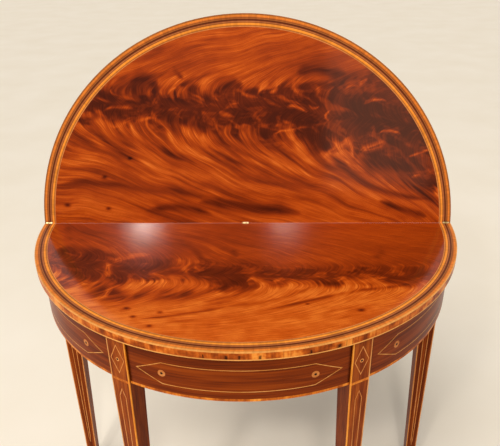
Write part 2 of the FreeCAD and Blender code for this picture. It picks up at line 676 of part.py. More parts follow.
def gates():
    """The fixed knuckle rail, and on each side a pin, a fly rail and the back leg tenoned to it."""
    axes = ["-gate_axis_reach", "gate_axis_reach"]
    rail, tools = knuckle_rail("hinge_rail_part", (axes[0], axes[1]), axes, BACK_RAIL_REAR,
                               range(1, FINGERS, 2))
    keep_in_frame(cut("hinge_rail_solid", rail, *tools), "hinge_rail")
    for side, sign in SIDES.items():
        name = f"{side}_gate"
        axis = f"({sign} * gate_axis_reach)"
        inner = f"({sign} * ({BACK_LEG_REACH} - leg_width))"
        reach = (axis, inner) if sign > 0 else (inner, axis)
        fly_front = f"({BACK_RAIL_REAR} + gate_gap)"
        fly, fly_tools = knuckle_rail(f"{name}_fly", reach, [axis], fly_front, range(0, FINGERS, 2))
        half = "tenon_thickness / 2"
        end = f"({sign} * ({BACK_LEG_REACH} - leg_width + tenon_length))"
        tenon = box(f"{name}_tenon", (inner, end) if sign > 0 else (end, inner),
                    (f"{GATE_AXIS_Y} - {half}", f"{GATE_AXIS_Y} + {half}"),
                    (f"{APRON_FOOT} + tenon_shoulder", f"{GATE_TOP} - tenon_shoulder"))
        rail_solid = cut(f"{name}_rail_solid", fuse(f"{name}_tenoned", fly, tenon), *fly_tools)
        keep_in_frame(rail_solid, f"{side}_fly_rail")
        pin = cylinder(f"{name}_pin_rod", "gate_pin_radius", APRON_FOOT, GATE_TOP, axis, GATE_AXIS_Y)
        keep_in_frame(group(f"{name}_pin", pin), f"{side}_gate_pin")
        back_leg(side, sign, tenon)


def back_leg(side, sign, tenon):
    """A gate leg, straight on its outer side and tapered on its inner one, mortised for the fly rail."""
    name = f"{side}_back_leg"
    top = ("-leg_width", "0") if sign > 0 else ("0", "leg_width")
    foot = ("-foot_width", "0") if sign > 0 else ("0", "foot_width")
    blank = leg_blank(name, top, foot, "back_leg_depth", GATE_TOP)
    strings = leg_inlay(name, top, foot, GATE_TOP)
    outer = f"({sign} * {BACK_LEG_REACH})"
    inlaid = place(cut(f"{name}_inlaid", blank, *strings), outer, GATE_FACE)
    keep_in_frame(cut(f"{name}_solid", inlaid, tenon), name)
    stringing = group(f"{name}_strings", *strings)
    keep(place(stringing, outer, f"{CENTRE_Y} + {GATE_FACE}"), f"{name}_stringing")


fixings = glue_blocks()
leaf("lower", (0, 2), keep_in_frame, False, fixings)
leaf("upper", (1,), keep_on_upper_leaf, True, [])
hinge_pins()
leg_seats = {side: front_leg(side, sign) for side, sign in SIDES.items()}
apron(leg_seats)
carcass()
gates()
doc.recompute()

for obj in doc.Objects:
    faults = [state for state in obj.State if state in ("Invalid", "Error")]
    if faults:
        raise RuntimeError(f"{obj.Name} did not compute: {faults}")
for obj in SUBPARTS:
    if obj.Shape.isNull() or not obj.Shape.isValid() or not obj.Shape.Solids:
        raise RuntimeError(f"{obj.Label} has no valid solid")

os.makedirs("parts", exist_ok=True)
for obj in SUBPARTS:
    obj.Shape.exportStep(f"parts/{obj.Label}.step")
    print(f"{obj.Label}: {len(obj.Shape.Solids)} solids, {obj.Shape.Volume / 1000:.1f} cm3")
print(f"{len(SUBPARTS)} nodes")
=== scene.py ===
# %% [markdown]
# Half-round folding table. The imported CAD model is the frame: every solid is already in its place, in
# metres, with +Z up and the front towards -Y. This script gives each solid its finish, lays two figured
# veneers over the leaves, and adds a floor, a camera and light. Shapes stay as the CAD model has them.

# %% Load the frame
import json
import math
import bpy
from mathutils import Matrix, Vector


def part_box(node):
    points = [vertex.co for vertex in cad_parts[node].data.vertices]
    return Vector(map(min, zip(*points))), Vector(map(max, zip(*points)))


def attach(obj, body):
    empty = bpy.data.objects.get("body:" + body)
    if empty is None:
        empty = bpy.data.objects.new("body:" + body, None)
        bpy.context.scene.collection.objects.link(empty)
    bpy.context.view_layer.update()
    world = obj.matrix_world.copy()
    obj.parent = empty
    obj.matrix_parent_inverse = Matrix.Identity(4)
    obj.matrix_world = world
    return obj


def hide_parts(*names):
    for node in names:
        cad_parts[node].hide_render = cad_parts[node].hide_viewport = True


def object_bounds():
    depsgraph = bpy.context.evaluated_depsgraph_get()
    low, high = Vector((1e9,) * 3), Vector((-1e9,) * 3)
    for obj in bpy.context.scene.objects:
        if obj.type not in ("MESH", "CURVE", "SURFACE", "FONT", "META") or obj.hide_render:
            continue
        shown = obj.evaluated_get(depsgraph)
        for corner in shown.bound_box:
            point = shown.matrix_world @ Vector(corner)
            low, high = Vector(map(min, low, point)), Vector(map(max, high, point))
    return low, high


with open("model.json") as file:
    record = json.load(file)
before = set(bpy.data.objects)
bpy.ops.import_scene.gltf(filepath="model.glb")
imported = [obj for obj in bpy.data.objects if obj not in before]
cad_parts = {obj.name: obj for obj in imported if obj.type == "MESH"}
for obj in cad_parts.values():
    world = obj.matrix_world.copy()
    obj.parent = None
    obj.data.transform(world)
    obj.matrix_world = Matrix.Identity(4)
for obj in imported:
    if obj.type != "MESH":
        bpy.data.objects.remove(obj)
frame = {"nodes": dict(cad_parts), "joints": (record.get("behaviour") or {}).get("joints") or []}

from types import SimpleNamespace
import bpy
import numpy as np
from mathutils import Matrix, Vector

cad_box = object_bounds()
print("solids in the frame:", len(frame["nodes"]))

# %% [markdown]
# The camera. The photograph looks down on the table from the front, a little right of the middle. The view
# was found by fitting a camera to the outlines of both leaves and to the inlays of the apron and the legs,
# so its place, turn and lens are plain numbers here. A matrix made from three unit vectors (right, up,
# back) sets place and turn in one go, roll included.

# %% Camera
CAMERA_PLACE = Vector((0.04931, -0.97623, 1.33711))
CAMERA_YAW = math.radians(-1.940)
CAMERA_PITCH = math.radians(27.184)
CAMERA_ROLL = math.radians(-0.956)
CAMERA_LENS = 41.75
SENSOR_WIDTH = 36.0


def camera_matrix(place, yaw, pitch, roll):
    """World matrix of a camera that looks along +Y at zero angles, pitched down and then rolled."""
    ahead = Vector((math.sin(yaw) * math.cos(pitch), math.cos(yaw) * math.cos(pitch), -math.sin(pitch)))
    level = Vector((math.cos(yaw), -math.sin(yaw), 0.0))
    upright = level.cross(ahead)
    right = level * math.cos(roll) + upright * math.sin(roll)
    up = upright * math.cos(roll) - level * math.sin(roll)
    return Matrix.Translation(place) @ Matrix((right, up, -ahead)).transposed().to_4x4()


camera_data = bpy.data.cameras.new("photo_camera")
camera_data.sensor_width = SENSOR_WIDTH
camera_data.lens = CAMERA_LENS
camera = bpy.data.objects.new("photo_camera", camera_data)
bpy.context.scene.collection.objects.link(camera)
camera.matrix_world = camera_matrix(CAMERA_PLACE, CAMERA_YAW, CAMERA_PITCH, CAMERA_ROLL)
bpy.context.scene.camera = camera
print("camera at", tuple(round(value, 3) for value in camera.location))

# %% [markdown]
# Small helpers for shader nodes. A shader is a graph, and writing each node and link by hand takes many
# lines, so these add one node, fill or link its sockets, and hand back the socket that the next node needs.
# Colours are written as hex codes for the screen, and turned into the linear values that shaders mix.

# %% Node helpers
def fill(tree, socket, value):
    """Link a socket to another node's output, or set its value."""
    if isinstance(value, bpy.types.NodeSocket):
        tree.links.new(value, socket)
    else:
        socket.default_value = value


def add(tree, kind, inputs=None, **settings):
    """One shader node, with its settings made and its sockets filled or linked by name or number."""
    node = tree.nodes.new("ShaderNode" + kind)
    for name, value in settings.items():
        setattr(node, name, value)
    for name, value in (inputs or {}).items():
        fill(tree, node.inputs[name], value)
    return node


def sums(tree, operation, *terms):
    """Result of one Math node on sockets or numbers."""
    return add(tree, "Math", dict(enumerate(terms)), operation=operation).outputs[0]


def fade(tree, value, start, end, low=0.0, high=1.0, kind="SMOOTHSTEP"):
    """Value carried from low at start to high at end, smoothly or as the kind says, and then held."""
    sockets = {"Value": value, "From Min": start, "From Max": end, "To Min": low, "To Max": high}
    return add(tree, "MapRange", sockets, interpolation_type=kind).outputs["Result"]


def noise(tree, place, size, detail=2.0, roughness=0.5):
    """Noise of that feature size, in metres, from 0 to 1."""
    sockets = {"Vector": place, "Scale": 1.0 / size, "Detail": detail, "Roughness": roughness}
    return add(tree, "TexNoise", sockets).outputs[0]


def object_place(tree):
    """Place on the object, in metres from its origin."""
    return add(tree, "TexCoord").outputs["Object"]


def axes(tree, place):
    """The three parts of a place."""
    return add(tree, "SeparateXYZ", {0: place}).outputs


def from_axes(tree, x, y, z):
    """A place made from three parts."""
    return add(tree, "CombineXYZ", {0: x, 1: y, 2: z}).outputs[0]


def stretch(tree, place, along, across):
    """Place divided by one size along X and by another across it, so that noise of size 1 is drawn out."""
    scale = (1.0 / along, 1.0 / across, 1.0 / across)
    return add(tree, "VectorMath", {0: place, 1: scale}, operation="MULTIPLY").outputs[0]


print("node helpers:", [job.__name__ for job in (fill, add, sums, fade, noise, axes, from_axes, stretch)])


# %% Colour helpers
def tint(code):
    """Linear colour of a six-digit hex code: each part is undone from the screen's curve."""
    part = np.array([int(code[at:at + 2], 16) for at in (1, 3, 5)]) / 255.0
    straight = np.where(part <= 0.04045, part / 12.92, ((part + 0.055) / 1.055) ** 2.4)
    return (*straight.tolist(), 1.0)


def ramp(tree, value, stops):
    """Colour read from stops of (place, hex code) along a value from 0 to 1."""
    node = add(tree, "ValToRGB", {"Fac": value})
    points = node.color_ramp.elements
    while len(points) < len(stops):
        points.new(1.0)
    for point, (place, code) in zip(points, stops):
        point.position = place
        point.color = tint(code)
    return node.outputs["Color"]


def blend(tree, share, first, second):
    """Two colours mixed by a share from 0, all first, to 1."""
    node = add(tree, "Mix", data_type="RGBA")
    sockets = {socket.identifier: socket for socket in (*node.inputs, *node.outputs)}
    for name, value in (("Factor_Float", share), ("A_Color", first), ("B_Color", second)):
        fill(tree, sockets[name], value)
    return sockets["Result_Color"]


def stain(tree, colour, share, strength, code):
    """A colour with a hex code laid over it, by a share times a strength."""
    return blend(tree, sums(tree, "MULTIPLY", share, strength), colour, tint(code))


print("a mid red-brown is", [round(value, 3) for value in tint("#9A3A0C")])

# %% [markdown]
# A shader group is a small graph with named sockets that several finishes share. The finishes of this table
# need five: where a point lies round the curved top, the fibre of wood, the cut pieces of a crossbanding,
# the rubbed polish and, further down, where a point lies on a front leg. Each is made once and placed in a
# finish with its own values.

# %% Group helpers
def new_group(name, inputs, outputs):
    """An empty group with its named sockets: inputs as {name: (kind, value)}, outputs as {name: kind}."""
    group = bpy.data.node_groups.new(name, "ShaderNodeTree")
    for socket, (kind, value) in inputs.items():
        made = group.interface.new_socket(socket, in_out="INPUT", socket_type="NodeSocket" + kind)
        made.default_value = value
    for socket, kind in outputs.items():
        group.interface.new_socket(socket, in_out="OUTPUT", socket_type="NodeSocket" + kind)
    return group, group.nodes.new("NodeGroupInput").outputs, group.nodes.new("NodeGroupOutput").inputs


def connect(tree, sockets, **outputs):
    """Link outputs to named sockets: those of a shader, or the ones that a group gives back."""
    for name, output in outputs.items():
        tree.links.new(output, sockets[name.replace("_", " ")])


def use(tree, group, **inputs):
    """A group placed in a shader, with its sockets filled or linked by name."""
    return add(tree, "Group", inputs, node_tree=group).outputs


print("group helpers:", [job.__name__ for job in (new_group, connect, use)])

# %% [markdown]
# Where a point lies round the top. Both leaves, the apron and the bandings follow one circle, so their
# grain is easiest to draw on an unrolled strip. The group turns the leaf flat about the hinge line,
# measures the angle and distance from the circle's middle, and gives back arc length, height and radius.
# The circle's radius and the distance of its middle from the crease come from the box of the lower veneer.

# %% Group: round the top
MM = 0.001
hinge = next(joint for joint in frame["joints"] if joint["name"] == "leaf_hinge")
HINGE = Vector(hinge["pos_m"])
LOWER_OPENING = 0.0
UPPER_OPENING = math.radians(-hinge["range_deg"][0])
lowest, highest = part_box("lower_field_veneer")
FIELD_DEPTH = highest[1] - lowest[1]
FIELD_REACH = highest[0]
FIELD_RADIUS = (FIELD_DEPTH + FIELD_REACH ** 2 / FIELD_DEPTH) / 2
MIDDLE_BACK = FIELD_RADIUS - FIELD_DEPTH
CREASE_GAP = HINGE.y - highest[1]
TOP_RADIUS = cad_box[1][0]

round_top, given, result = new_group("round_the_top", {"Opening": ("Float", 0.0)}, {"Unrolled": "Vector"})
tree = round_top
turn = sums(tree, "ADD", given["Opening"], math.pi)
place = add(tree, "VectorMath", {0: object_place(tree), 1: HINGE}, operation="SUBTRACT").outputs[0]
place = add(tree, "VectorRotate", {"Vector": place, "Angle": turn}, rotation_type="X_AXIS").outputs[0]
side, out, high = axes(tree, place)
out = sums(tree, "ADD", out, MIDDLE_BACK - CREASE_GAP)
arc = sums(tree, "MULTIPLY", sums(tree, "ARCTAN2", side, out), TOP_RADIUS)
squares = [sums(tree, "MULTIPLY", part, part) for part in (side, out)]
radius = sums(tree, "SQRT", sums(tree, "ADD", *squares))
connect(tree, result, Unrolled=from_axes(tree, arc, high, radius))
print("field radius %.1f mm, middle %.1f mm behind the crease" % (FIELD_RADIUS / MM, MIDDLE_BACK / MM))

# %% [markdown]
# Wood fibre. Wood is a bundle of long tubes, so its figure is noise that is drawn out along the grain:
# broad bands from the growth rings, fine lines from the fibres, and short dark dashes where pores are cut
# open. The group wants a place whose X runs along the grain.

# %% Group: wood fibre
PORE_LENGTH = 5 * MM
PORE_WIDTH = 0.45 * MM
WANDER_SIZE = 0.12
FIBRE_DETAIL = {"detail": 3.0, "roughness": 0.55}

wood_fibre, given, result = new_group(
    "wood_fibre",
    {"Place": ("Vector", (0, 0, 0)), "Length": ("Float", 0.3), "Width": ("Float", 0.012),
     "Wander": ("Float", 0.004)},
    {"Figure": "Float", "Fibre": "Float", "Pores": "Float"})
tree = wood_fibre
x, y, z = axes(tree, given["Place"])
drift = sums(tree, "SUBTRACT", noise(tree, given["Place"], WANDER_SIZE, 1.0), 0.5)
y = sums(tree, "ADD", y, sums(tree, "MULTIPLY", drift, given["Wander"]))
for name, long_share, wide_share in (("Figure", 1.0, 1.0), ("Fibre", 0.3, 0.14)):
    length = sums(tree, "MULTIPLY", given["Length"], long_share)
    width = sums(tree, "MULTIPLY", given["Width"], wide_share)
    drawn = [sums(tree, "DIVIDE", part, size) for part, size in ((x, length), (y, width), (z, width))]
    connect(tree, result, **{name: noise(tree, from_axes(tree, *drawn), 1.0, **FIBRE_DETAIL)})
dash = noise(tree, stretch(tree, from_axes(tree, x, y, z), PORE_LENGTH, PORE_WIDTH), 1.0)
connect(tree, result, Pores=fade(tree, dash, 0.60, 0.72))
print("pores are", PORE_LENGTH / MM, "mm long")

# %% [markdown]
# Crossbanding. A crossband is made of short pieces laid side by side with their grain across the band, so
# from one piece to the next the colour jumps, and a few joints have opened and filled with dark polish. A
# Voronoi texture in one dimension gives each piece its own random value; the distance to its edge gives the
# joints. Only the pieces with the highest values have a crack.

# %% Group: crossband pieces
JOINT_WIDTH = 0.05              # this and the next are shares of a piece's length
CRACK_WIDTH = (0.02, 0.10)
CRACKED = (0.91, 0.94)

crossband_pieces, given, result = new_group(
    "crossband_pieces",
    {"Along": ("Float", 0.0), "Piece": ("Float", 0.02)},
    {"Shade": "Float", "Joint": "Float", "Crack": "Float"})
tree = crossband_pieces
cut = {"W": sums(tree, "DIVIDE", given["Along"], given["Piece"]), "Scale": 1.0}
piece = add(tree, "TexVoronoi", cut, voronoi_dimensions="1D").outputs["Color"]
edge = add(tree, "TexVoronoi", cut, voronoi_dimensions="1D", feature="DISTANCE_TO_EDGE").outputs["Distance"]
shade = axes(tree, piece)[0]
crack = sums(tree, "MULTIPLY", fade(tree, shade, *CRACKED), fade(tree, edge, *CRACK_WIDTH, 1.0, 0.0))
connect(tree, result, Shade=shade, Joint=fade(tree, edge, 0.0, JOINT_WIDTH, 1.0, 0.0), Crack=crack)
print("group with", len(tree.nodes), "nodes")

# %% [markdown]
# Rubbed polish. Shellac is rubbed on in many thin coats. It shines, but hands and dusters have left faint
# cloudy smears, and the film has sunk a little into the grain. The group gives a roughness that clouds over
# slowly, and a height for a Bump node.

# %% Group: rubbed polish
SMEAR_SIZE = 0.07
SUNK_SIZE = 4 * MM

rubbed_polish, given, result = new_group(
    "rubbed_polish",
    {"Gloss": ("Float", 0.3), "Smear": ("Float", 0.1)},
    {"Roughness": "Float", "Height": "Float"})
tree = rubbed_polish
place = object_place(tree)
cloud = sums(tree, "SUBTRACT", noise(tree, place, SMEAR_SIZE, 3.0, 0.6), 0.5)
rub = sums(tree, "MULTIPLY_ADD", cloud, given["Smear"], given["Gloss"])
connect(tree, result, Roughness=rub, Height=noise(tree, place, SUNK_SIZE))
print("group with", len(tree.nodes), "nodes")

# %% [markdown]
# Every finish is a Principled shader. These helpers make one with its constant sockets set, lay the polish
# over its colour, and put it on CAD solids by name. A set keeps the names, so that the last cell can tell
# whether a solid was left undressed. On the apron, the legs and the bandings the old polish mirrors little,
# so its coat has a low index: with the usual 1.5 the pale surroundings would lie over the brown as a haze.

# %% Finish helpers
POLISHED = {"Specular_IOR_Level": 0.02, "Coat_Weight": 0.28, "Coat_Roughness": 0.12, "Coat_IOR": 1.2}
POLISH_RUB = {"Gloss": 0.36, "Smear": 0.14}
FINE_RELIEF = 0.02 * MM
FIBRE_RELIEF = 0.03 * MM
dressed = set()


def new_finish(name, **constants):
    """A material, its node tree and its Principled shader, with the constant sockets set."""
    finish = bpy.data.materials.new(name)
    finish.use_nodes = True
    shader = finish.node_tree.nodes["Principled BSDF"]
    for socket, value in constants.items():
        shader.inputs[socket.replace("_", " ")].default_value = value
    return finish, finish.node_tree, shader


def relief(tree, height, depth):
    """Normal from a height that changes by that depth, in metres."""
    return add(tree, "Bump", {"Height": height, "Strength": 1.0, "Distance": depth}).outputs["Normal"]


def lay_polish(tree, shader, colour, depth, height=None, rub=POLISH_RUB):
    """Last step of a wood: its colour, the polish's roughness, and relief from a height or the polish."""
    polish = use(tree, rubbed_polish, **rub)
    normal = relief(tree, polish["Height"] if height is None else height, depth)
    connect(tree, shader.inputs, Base_Color=colour, Roughness=polish["Roughness"], Normal=normal)


def dress(finish, *names):
    """Put a finish on CAD solids in place of their packed colour."""
    for name in names:
        for slot in frame["nodes"][name].material_slots:
            slot.material = finish
    dressed.update(names)
    print(finish.name, "on", ", ".join(names))


print("finish helpers:", [job.__name__ for job in (new_finish, relief, lay_polish, dress)])

# %% [markdown]
# The flame figure. Veneer cut through the fork of a mahogany trunk shows a feather: a dark, twisted band
# where the two stems meet, and tongues of light wood that hook out of it and sweep away in long plumes. A
# picture of wood would not be procedural, and plain noise has no feather in it, so the figure is worked out
# here with numpy from a description of its lines. First comes a repeatable noise on whole arrays.

# %% Repeatable noise
COLUMN_PRIME, ROW_PRIME, SEED_PRIME, MIX_PRIME = 374761393, 668265263, 974711, 1274126177
WORD = 0xFFFFFFFF
HALF_WORD = 0xFFFF


def lattice_noise(x, y, seed):
    """Random values on whole-number points, joined smoothly: each corner's value comes from mixing its two
    whole numbers and the seed, and the four corners are weighted by a quintic ease of the fractions."""
    def corner(column, row):
        value = column.astype(np.int64) * COLUMN_PRIME + row.astype(np.int64) * ROW_PRIME + seed * SEED_PRIME
        value = value & WORD
        value = ((value ^ (value >> 13)) * MIX_PRIME) & WORD
        return ((value ^ (value >> 16)) & HALF_WORD) / HALF_WORD

    def quintic(share):
        return share ** 3 * (share * (share * 6 - 15) + 10)

    column, row = np.floor(x), np.floor(y)
    across, up = quintic(x - column), quintic(y - row)
    near = corner(column, row) * (1 - across) + corner(column + 1, row) * across
    far = corner(column, row + 1) * (1 - across) + corner(column + 1, row + 1) * across
    return near * (1 - up) + far * up


def sway(x, y, seed, octaves=2):
    """Noise from -1 to 1: octaves added up, each twice as fine and half as strong as the one before."""
    total = sum(lattice_noise(x * 2 ** k + 17.3 * k, y * 2 ** k + 9.1 * k, seed + k) / 2 ** k
                for k in range(octaves))
    return 2 * total / sum(1 / 2 ** k for k in range(octaves)) - 1


def swayed(value, x, y, seed, size, by, octaves=2):
    """A value moved to and fro by noise of that size and strength."""
    return value + by * sway(x / size, y / size, seed, octaves)


print("noise at one point:", round(float(sway(np.array([0.3]), np.array([0.7]), 5)[0]), 3))

# %% [markdown]
# Lines and strokes. A spine runs across the leaf, and a point is described by its distance from it. A
# tongue leaves the spine with a small hook, and then drifts sideways faster and faster, so its sideways
# drift is a power of the distance. Darker smoke and pale licks of light lie where soft bent strokes say.

# %% Lines and strokes
SOFT_CORNER = (-0.030, -0.015, 0.0, 0.015, 0.030)
HOOK_POWER = 1.7


def ease(start, end, value):
    """0 before start, 1 after end, and a smooth S between."""
    share = np.clip((value - start) / (end - start), 0, 1)
    return share * share * (3 - 2 * share)


def mixed(tone, other, share):
    """A tone carried towards another by a share from 0 to 1."""
    return tone + share * (other - tone)


def along_points(x, points):
    """Height of a line through (x, height) points, with its corners rounded by averaging over 60 mm."""
    places, heights = zip(*points)
    return sum(np.interp(x + shift, places, heights) for shift in SOFT_CORNER) / len(SOFT_CORNER)


def drift_of(distance, hook_end, fall, swing, power, hook):
    """Sideways drift of a tongue, and its slope: swing times (distance past the hook over fall) to a power,
    and a hook that turns back inside hook_end."""
    past = np.clip(distance - hook_end, 0, None) / fall
    inside = np.clip(hook_end - distance, 0, None) / hook_end
    drift = swing * past ** power + hook * inside ** HOOK_POWER
    return np.stack([drift, swing * power / fall * past ** (power - 1)])


def stroke(x, out, row):
    """Share of a soft stroke at each point, and the point's place in it: the run along and the way across.
    A row has the x and out of start, middle and end, and the half width, in mm. With t the share along the
    chord from start to end, the stroke's line is the chord plus 4 t (1 - t) times the middle point's offset
    from the chord. It falls away from its line as a bell, and thins out towards both ends as the root of
    five times the nearer end's share."""
    start, middle, end = np.reshape(row[:6], (3, 2)) * MM
    chord = end - start
    bend = middle - (start + end) / 2
    length = np.hypot(*chord)
    t = np.clip(((x - start[0]) * chord[0] + (out - start[1]) * chord[1]) / length ** 2, 0, 1)
    away_x = x - start[0] - t * chord[0] - 4 * t * (1 - t) * bend[0]
    away_out = out - start[1] - t * chord[1] - 4 * t * (1 - t) * bend[1]
    taper = np.sqrt(np.clip(5 * np.minimum(t, 1 - t), 0.02, 1))
    share = taper * np.exp(-(away_x ** 2 + away_out ** 2) / (row[6] * MM * taper) ** 2)
    return share, t * length, (away_out * chord[0] - away_x * chord[1]) / length


sample = stroke(np.array([0.0]), np.array([0.0]), (-20, 0, 0, 4, 20, 0, 5))[0]
print("share 4 mm beside the middle of a stroke:", round(float(sample[0]), 3))

# %% [markdown]
# The raised leaf's feather. Lines are in metres and strokes in millimetres, from the middle of the leaf and
# out from the crease. Single numbers are the noise's seed, the way the tongues sweep, how wide the band's
# lobes are and how deep they bite, and the tones of the band and of the smoke. Pairs are for the side
# towards the crease and the side away from it: the ground's tone, how strong the streaks are, how mottled
# it is, how softly the band ends, and the drift of the tongues. Lists of points are lines along x: the
# spine, the band's half width, how far the tongues swing (slack) and tilt (lean), how lively they are, and
# how many stray licks the band has. A stroke's row has its start, middle, end and half width, and smoke
# adds a strength. A knot has a place and a size.

# %% Feather of the raised leaf
UPPER_FEATHER = {
    "seed": 12, "way": 1.0, "lobe": 0.017, "bite": 0.026, "dark": 0.27, "smoke_tone": 0.18,
    "ground": (0.715, 0.735), "calm": (1.05, 0.60), "mottle": (0.05, 0.06), "soft": (0.016, 0.018),
    "drift": ((0.034, 0.154, 0.267, 2.2, 0.022), (0.030, 0.080, 0.150, 1.8, 0.020)),
    "spine": [(-0.46, 0.240), (-0.33, 0.265), (-0.20, 0.262), (-0.06, 0.258), (0.07, 0.252), (0.20, 0.245),
              (0.30, 0.232), (0.40, 0.200), (0.46, 0.170)],
    "half_width": [(-0.46, 0.030), (-0.33, 0.036), (-0.20, 0.028), (-0.08, 0.030), (0.00, 0.044),
                   (0.10, 0.054), (0.20, 0.082), (0.30, 0.098), (0.40, 0.095), (0.46, 0.090)],
    "slack": [(-0.46, 1.5), (-0.30, 1.3), (-0.10, 1.0), (0.46, 0.9)],
    "lean": [(-0.46, 1.2), (-0.30, 0.8), (-0.18, 0.25), (-0.08, 0.0), (0.46, 0.0)],
    "lively": [(0.0, 1.0)],
    "stray": [(-0.46, 0.75), (0.08, 0.72), (0.20, 0.40), (0.46, 0.35)],
    "smoke": [
        (-335, 258, -260, 290, -200, 300, 24, 1.6), (-240, 316, -208, 318, -176, 300, 17, 1.5),
        (-145, 345, -136, 332, -122, 318, 5, 0.7), (-60, 285, -30, 305, 0, 310, 12, 1.3),
        (115, 318, 165, 336, 215, 326, 14, 1.5), (-310, 240, -280, 245, -250, 240, 12, 0.7),
        (-160, 240, -100, 228, -40, 222, 13, 1.0), (40, 235, 100, 232, 150, 240, 16, 1.2),
        (110, 205, 150, 185, 165, 155, 22, 1.3), (210, 290, 290, 230, 370, 190, 44, 1.6),
        (250, 150, 320, 135, 385, 140, 22, 1.2), (-415, 87, -240, 84, -80, 56, 9, 1.1),
        (-330, 118, -180, 78, 10, 33, 7, 1.0), (-170, 146, -40, 82, 140, 50, 7, 1.0),
        (5, 146, 90, 92, 245, 42, 6, 1.0), (98, 165, 190, 98, 375, 22, 8, 1.1),
        (-235, 28, -150, 36, -70, 14, 9, 1.0), (-105, 46, 10, 40, 130, 20, 13, 1.4),
        (300, 54, 350, 32, 405, 16, 9, 1.1), (200, 128, 300, 80, 410, 60, 7, 0.9),
        (-345, 232, -342, 226, -336, 220, 5, 0.5), (-210, 364, -120, 372, 20, 392, 5, 0.4),
        (-90, 348, 40, 372, 160, 380, 6, 0.4), (165, 238, 195, 216, 222, 196, 20, 1.5),
        (172, 300, 215, 312, 264, 300, 20, 1.5), (140, 232, 165, 206, 190, 160, 14, 1.3),
    ],
    "licks": [
        (-193, 264, -174, 286, -146, 324, 7), (-158, 282, -152, 294, -138, 304, 5),
        (-139, 276, -135, 290, -122, 302, 4), (-97, 283, -100, 298, -80, 314, 5),
        (-298, 254, -268, 263, -232, 258, 3.5), (-300, 240, -290, 224, -266, 219, 5),
        (-268, 218, -252, 230, -236, 236, 4), (-236, 220, -214, 234, -186, 239, 4),
        (-72, 236, -62, 228, -58, 212, 6), (-44, 254, -27, 264, -8, 267, 3),
        (-6, 291, 10, 282, 30, 276, 3.5), (66, 318, 66, 302, 52, 286, 6), (20, 318, 34, 308, 52, 312, 6),
        (122, 280, 105, 298, 118, 326, 5), (90, 262, 110, 258, 130, 248, 3.5),
        (132, 262, 146, 257, 158, 260, 3), (182, 252, 170, 238, 182, 225, 3),
        (112, 212, 150, 219, 182, 228, 3), (66, 201, 88, 208, 112, 211, 3.5),
        (150, 282, 160, 300, 188, 318, 7), (166, 276, 172, 290, 188, 304, 5),
        (208, 297, 226, 301, 240, 300, 2.5), (236, 302, 244, 312, 254, 318, 5),
        (250, 264, 274, 274, 298, 270, 3), (168, 150, 192, 166, 220, 184, 6),
        (216, 190, 222, 184, 226, 176, 8), (225, 182, 230, 164, 236, 148, 6),
        (248, 160, 276, 176, 302, 184, 8), (286, 202, 312, 206, 336, 198, 3),
        (350, 150, 376, 160, 400, 168, 3), (362, 102, 388, 116, 412, 120, 5),
        (64, 204, 72, 190, 96, 172, 6), (12, 224, 8, 206, 26, 184, 5), (28, 224, 29, 206, 44, 188, 4),
        (-54, 210, -48, 192, -20, 166, 5), (-94, 206, -90, 190, -76, 178, 8),
        (190, 205, 215, 150, 260, 120, 9),
    ],
    "knots": [(-0.40, 0.043, 0.0045), (-0.308, 0.035, 0.0035), (-0.31, 0.108, 0.0035),
              (-0.25, 0.150, 0.0030)],
}
print("raised leaf:", len(UPPER_FEATHER["smoke"]), "strokes of smoke,", len(UPPER_FEATHER["licks"]), "licks")

# %% [markdown]
# The lower leaf's feather. It looks cut from the same fork, but lies the other way: its tongues sweep to
# the other side, they fade out towards the right, and the wood in front of the band is paler than the wood
# behind it.

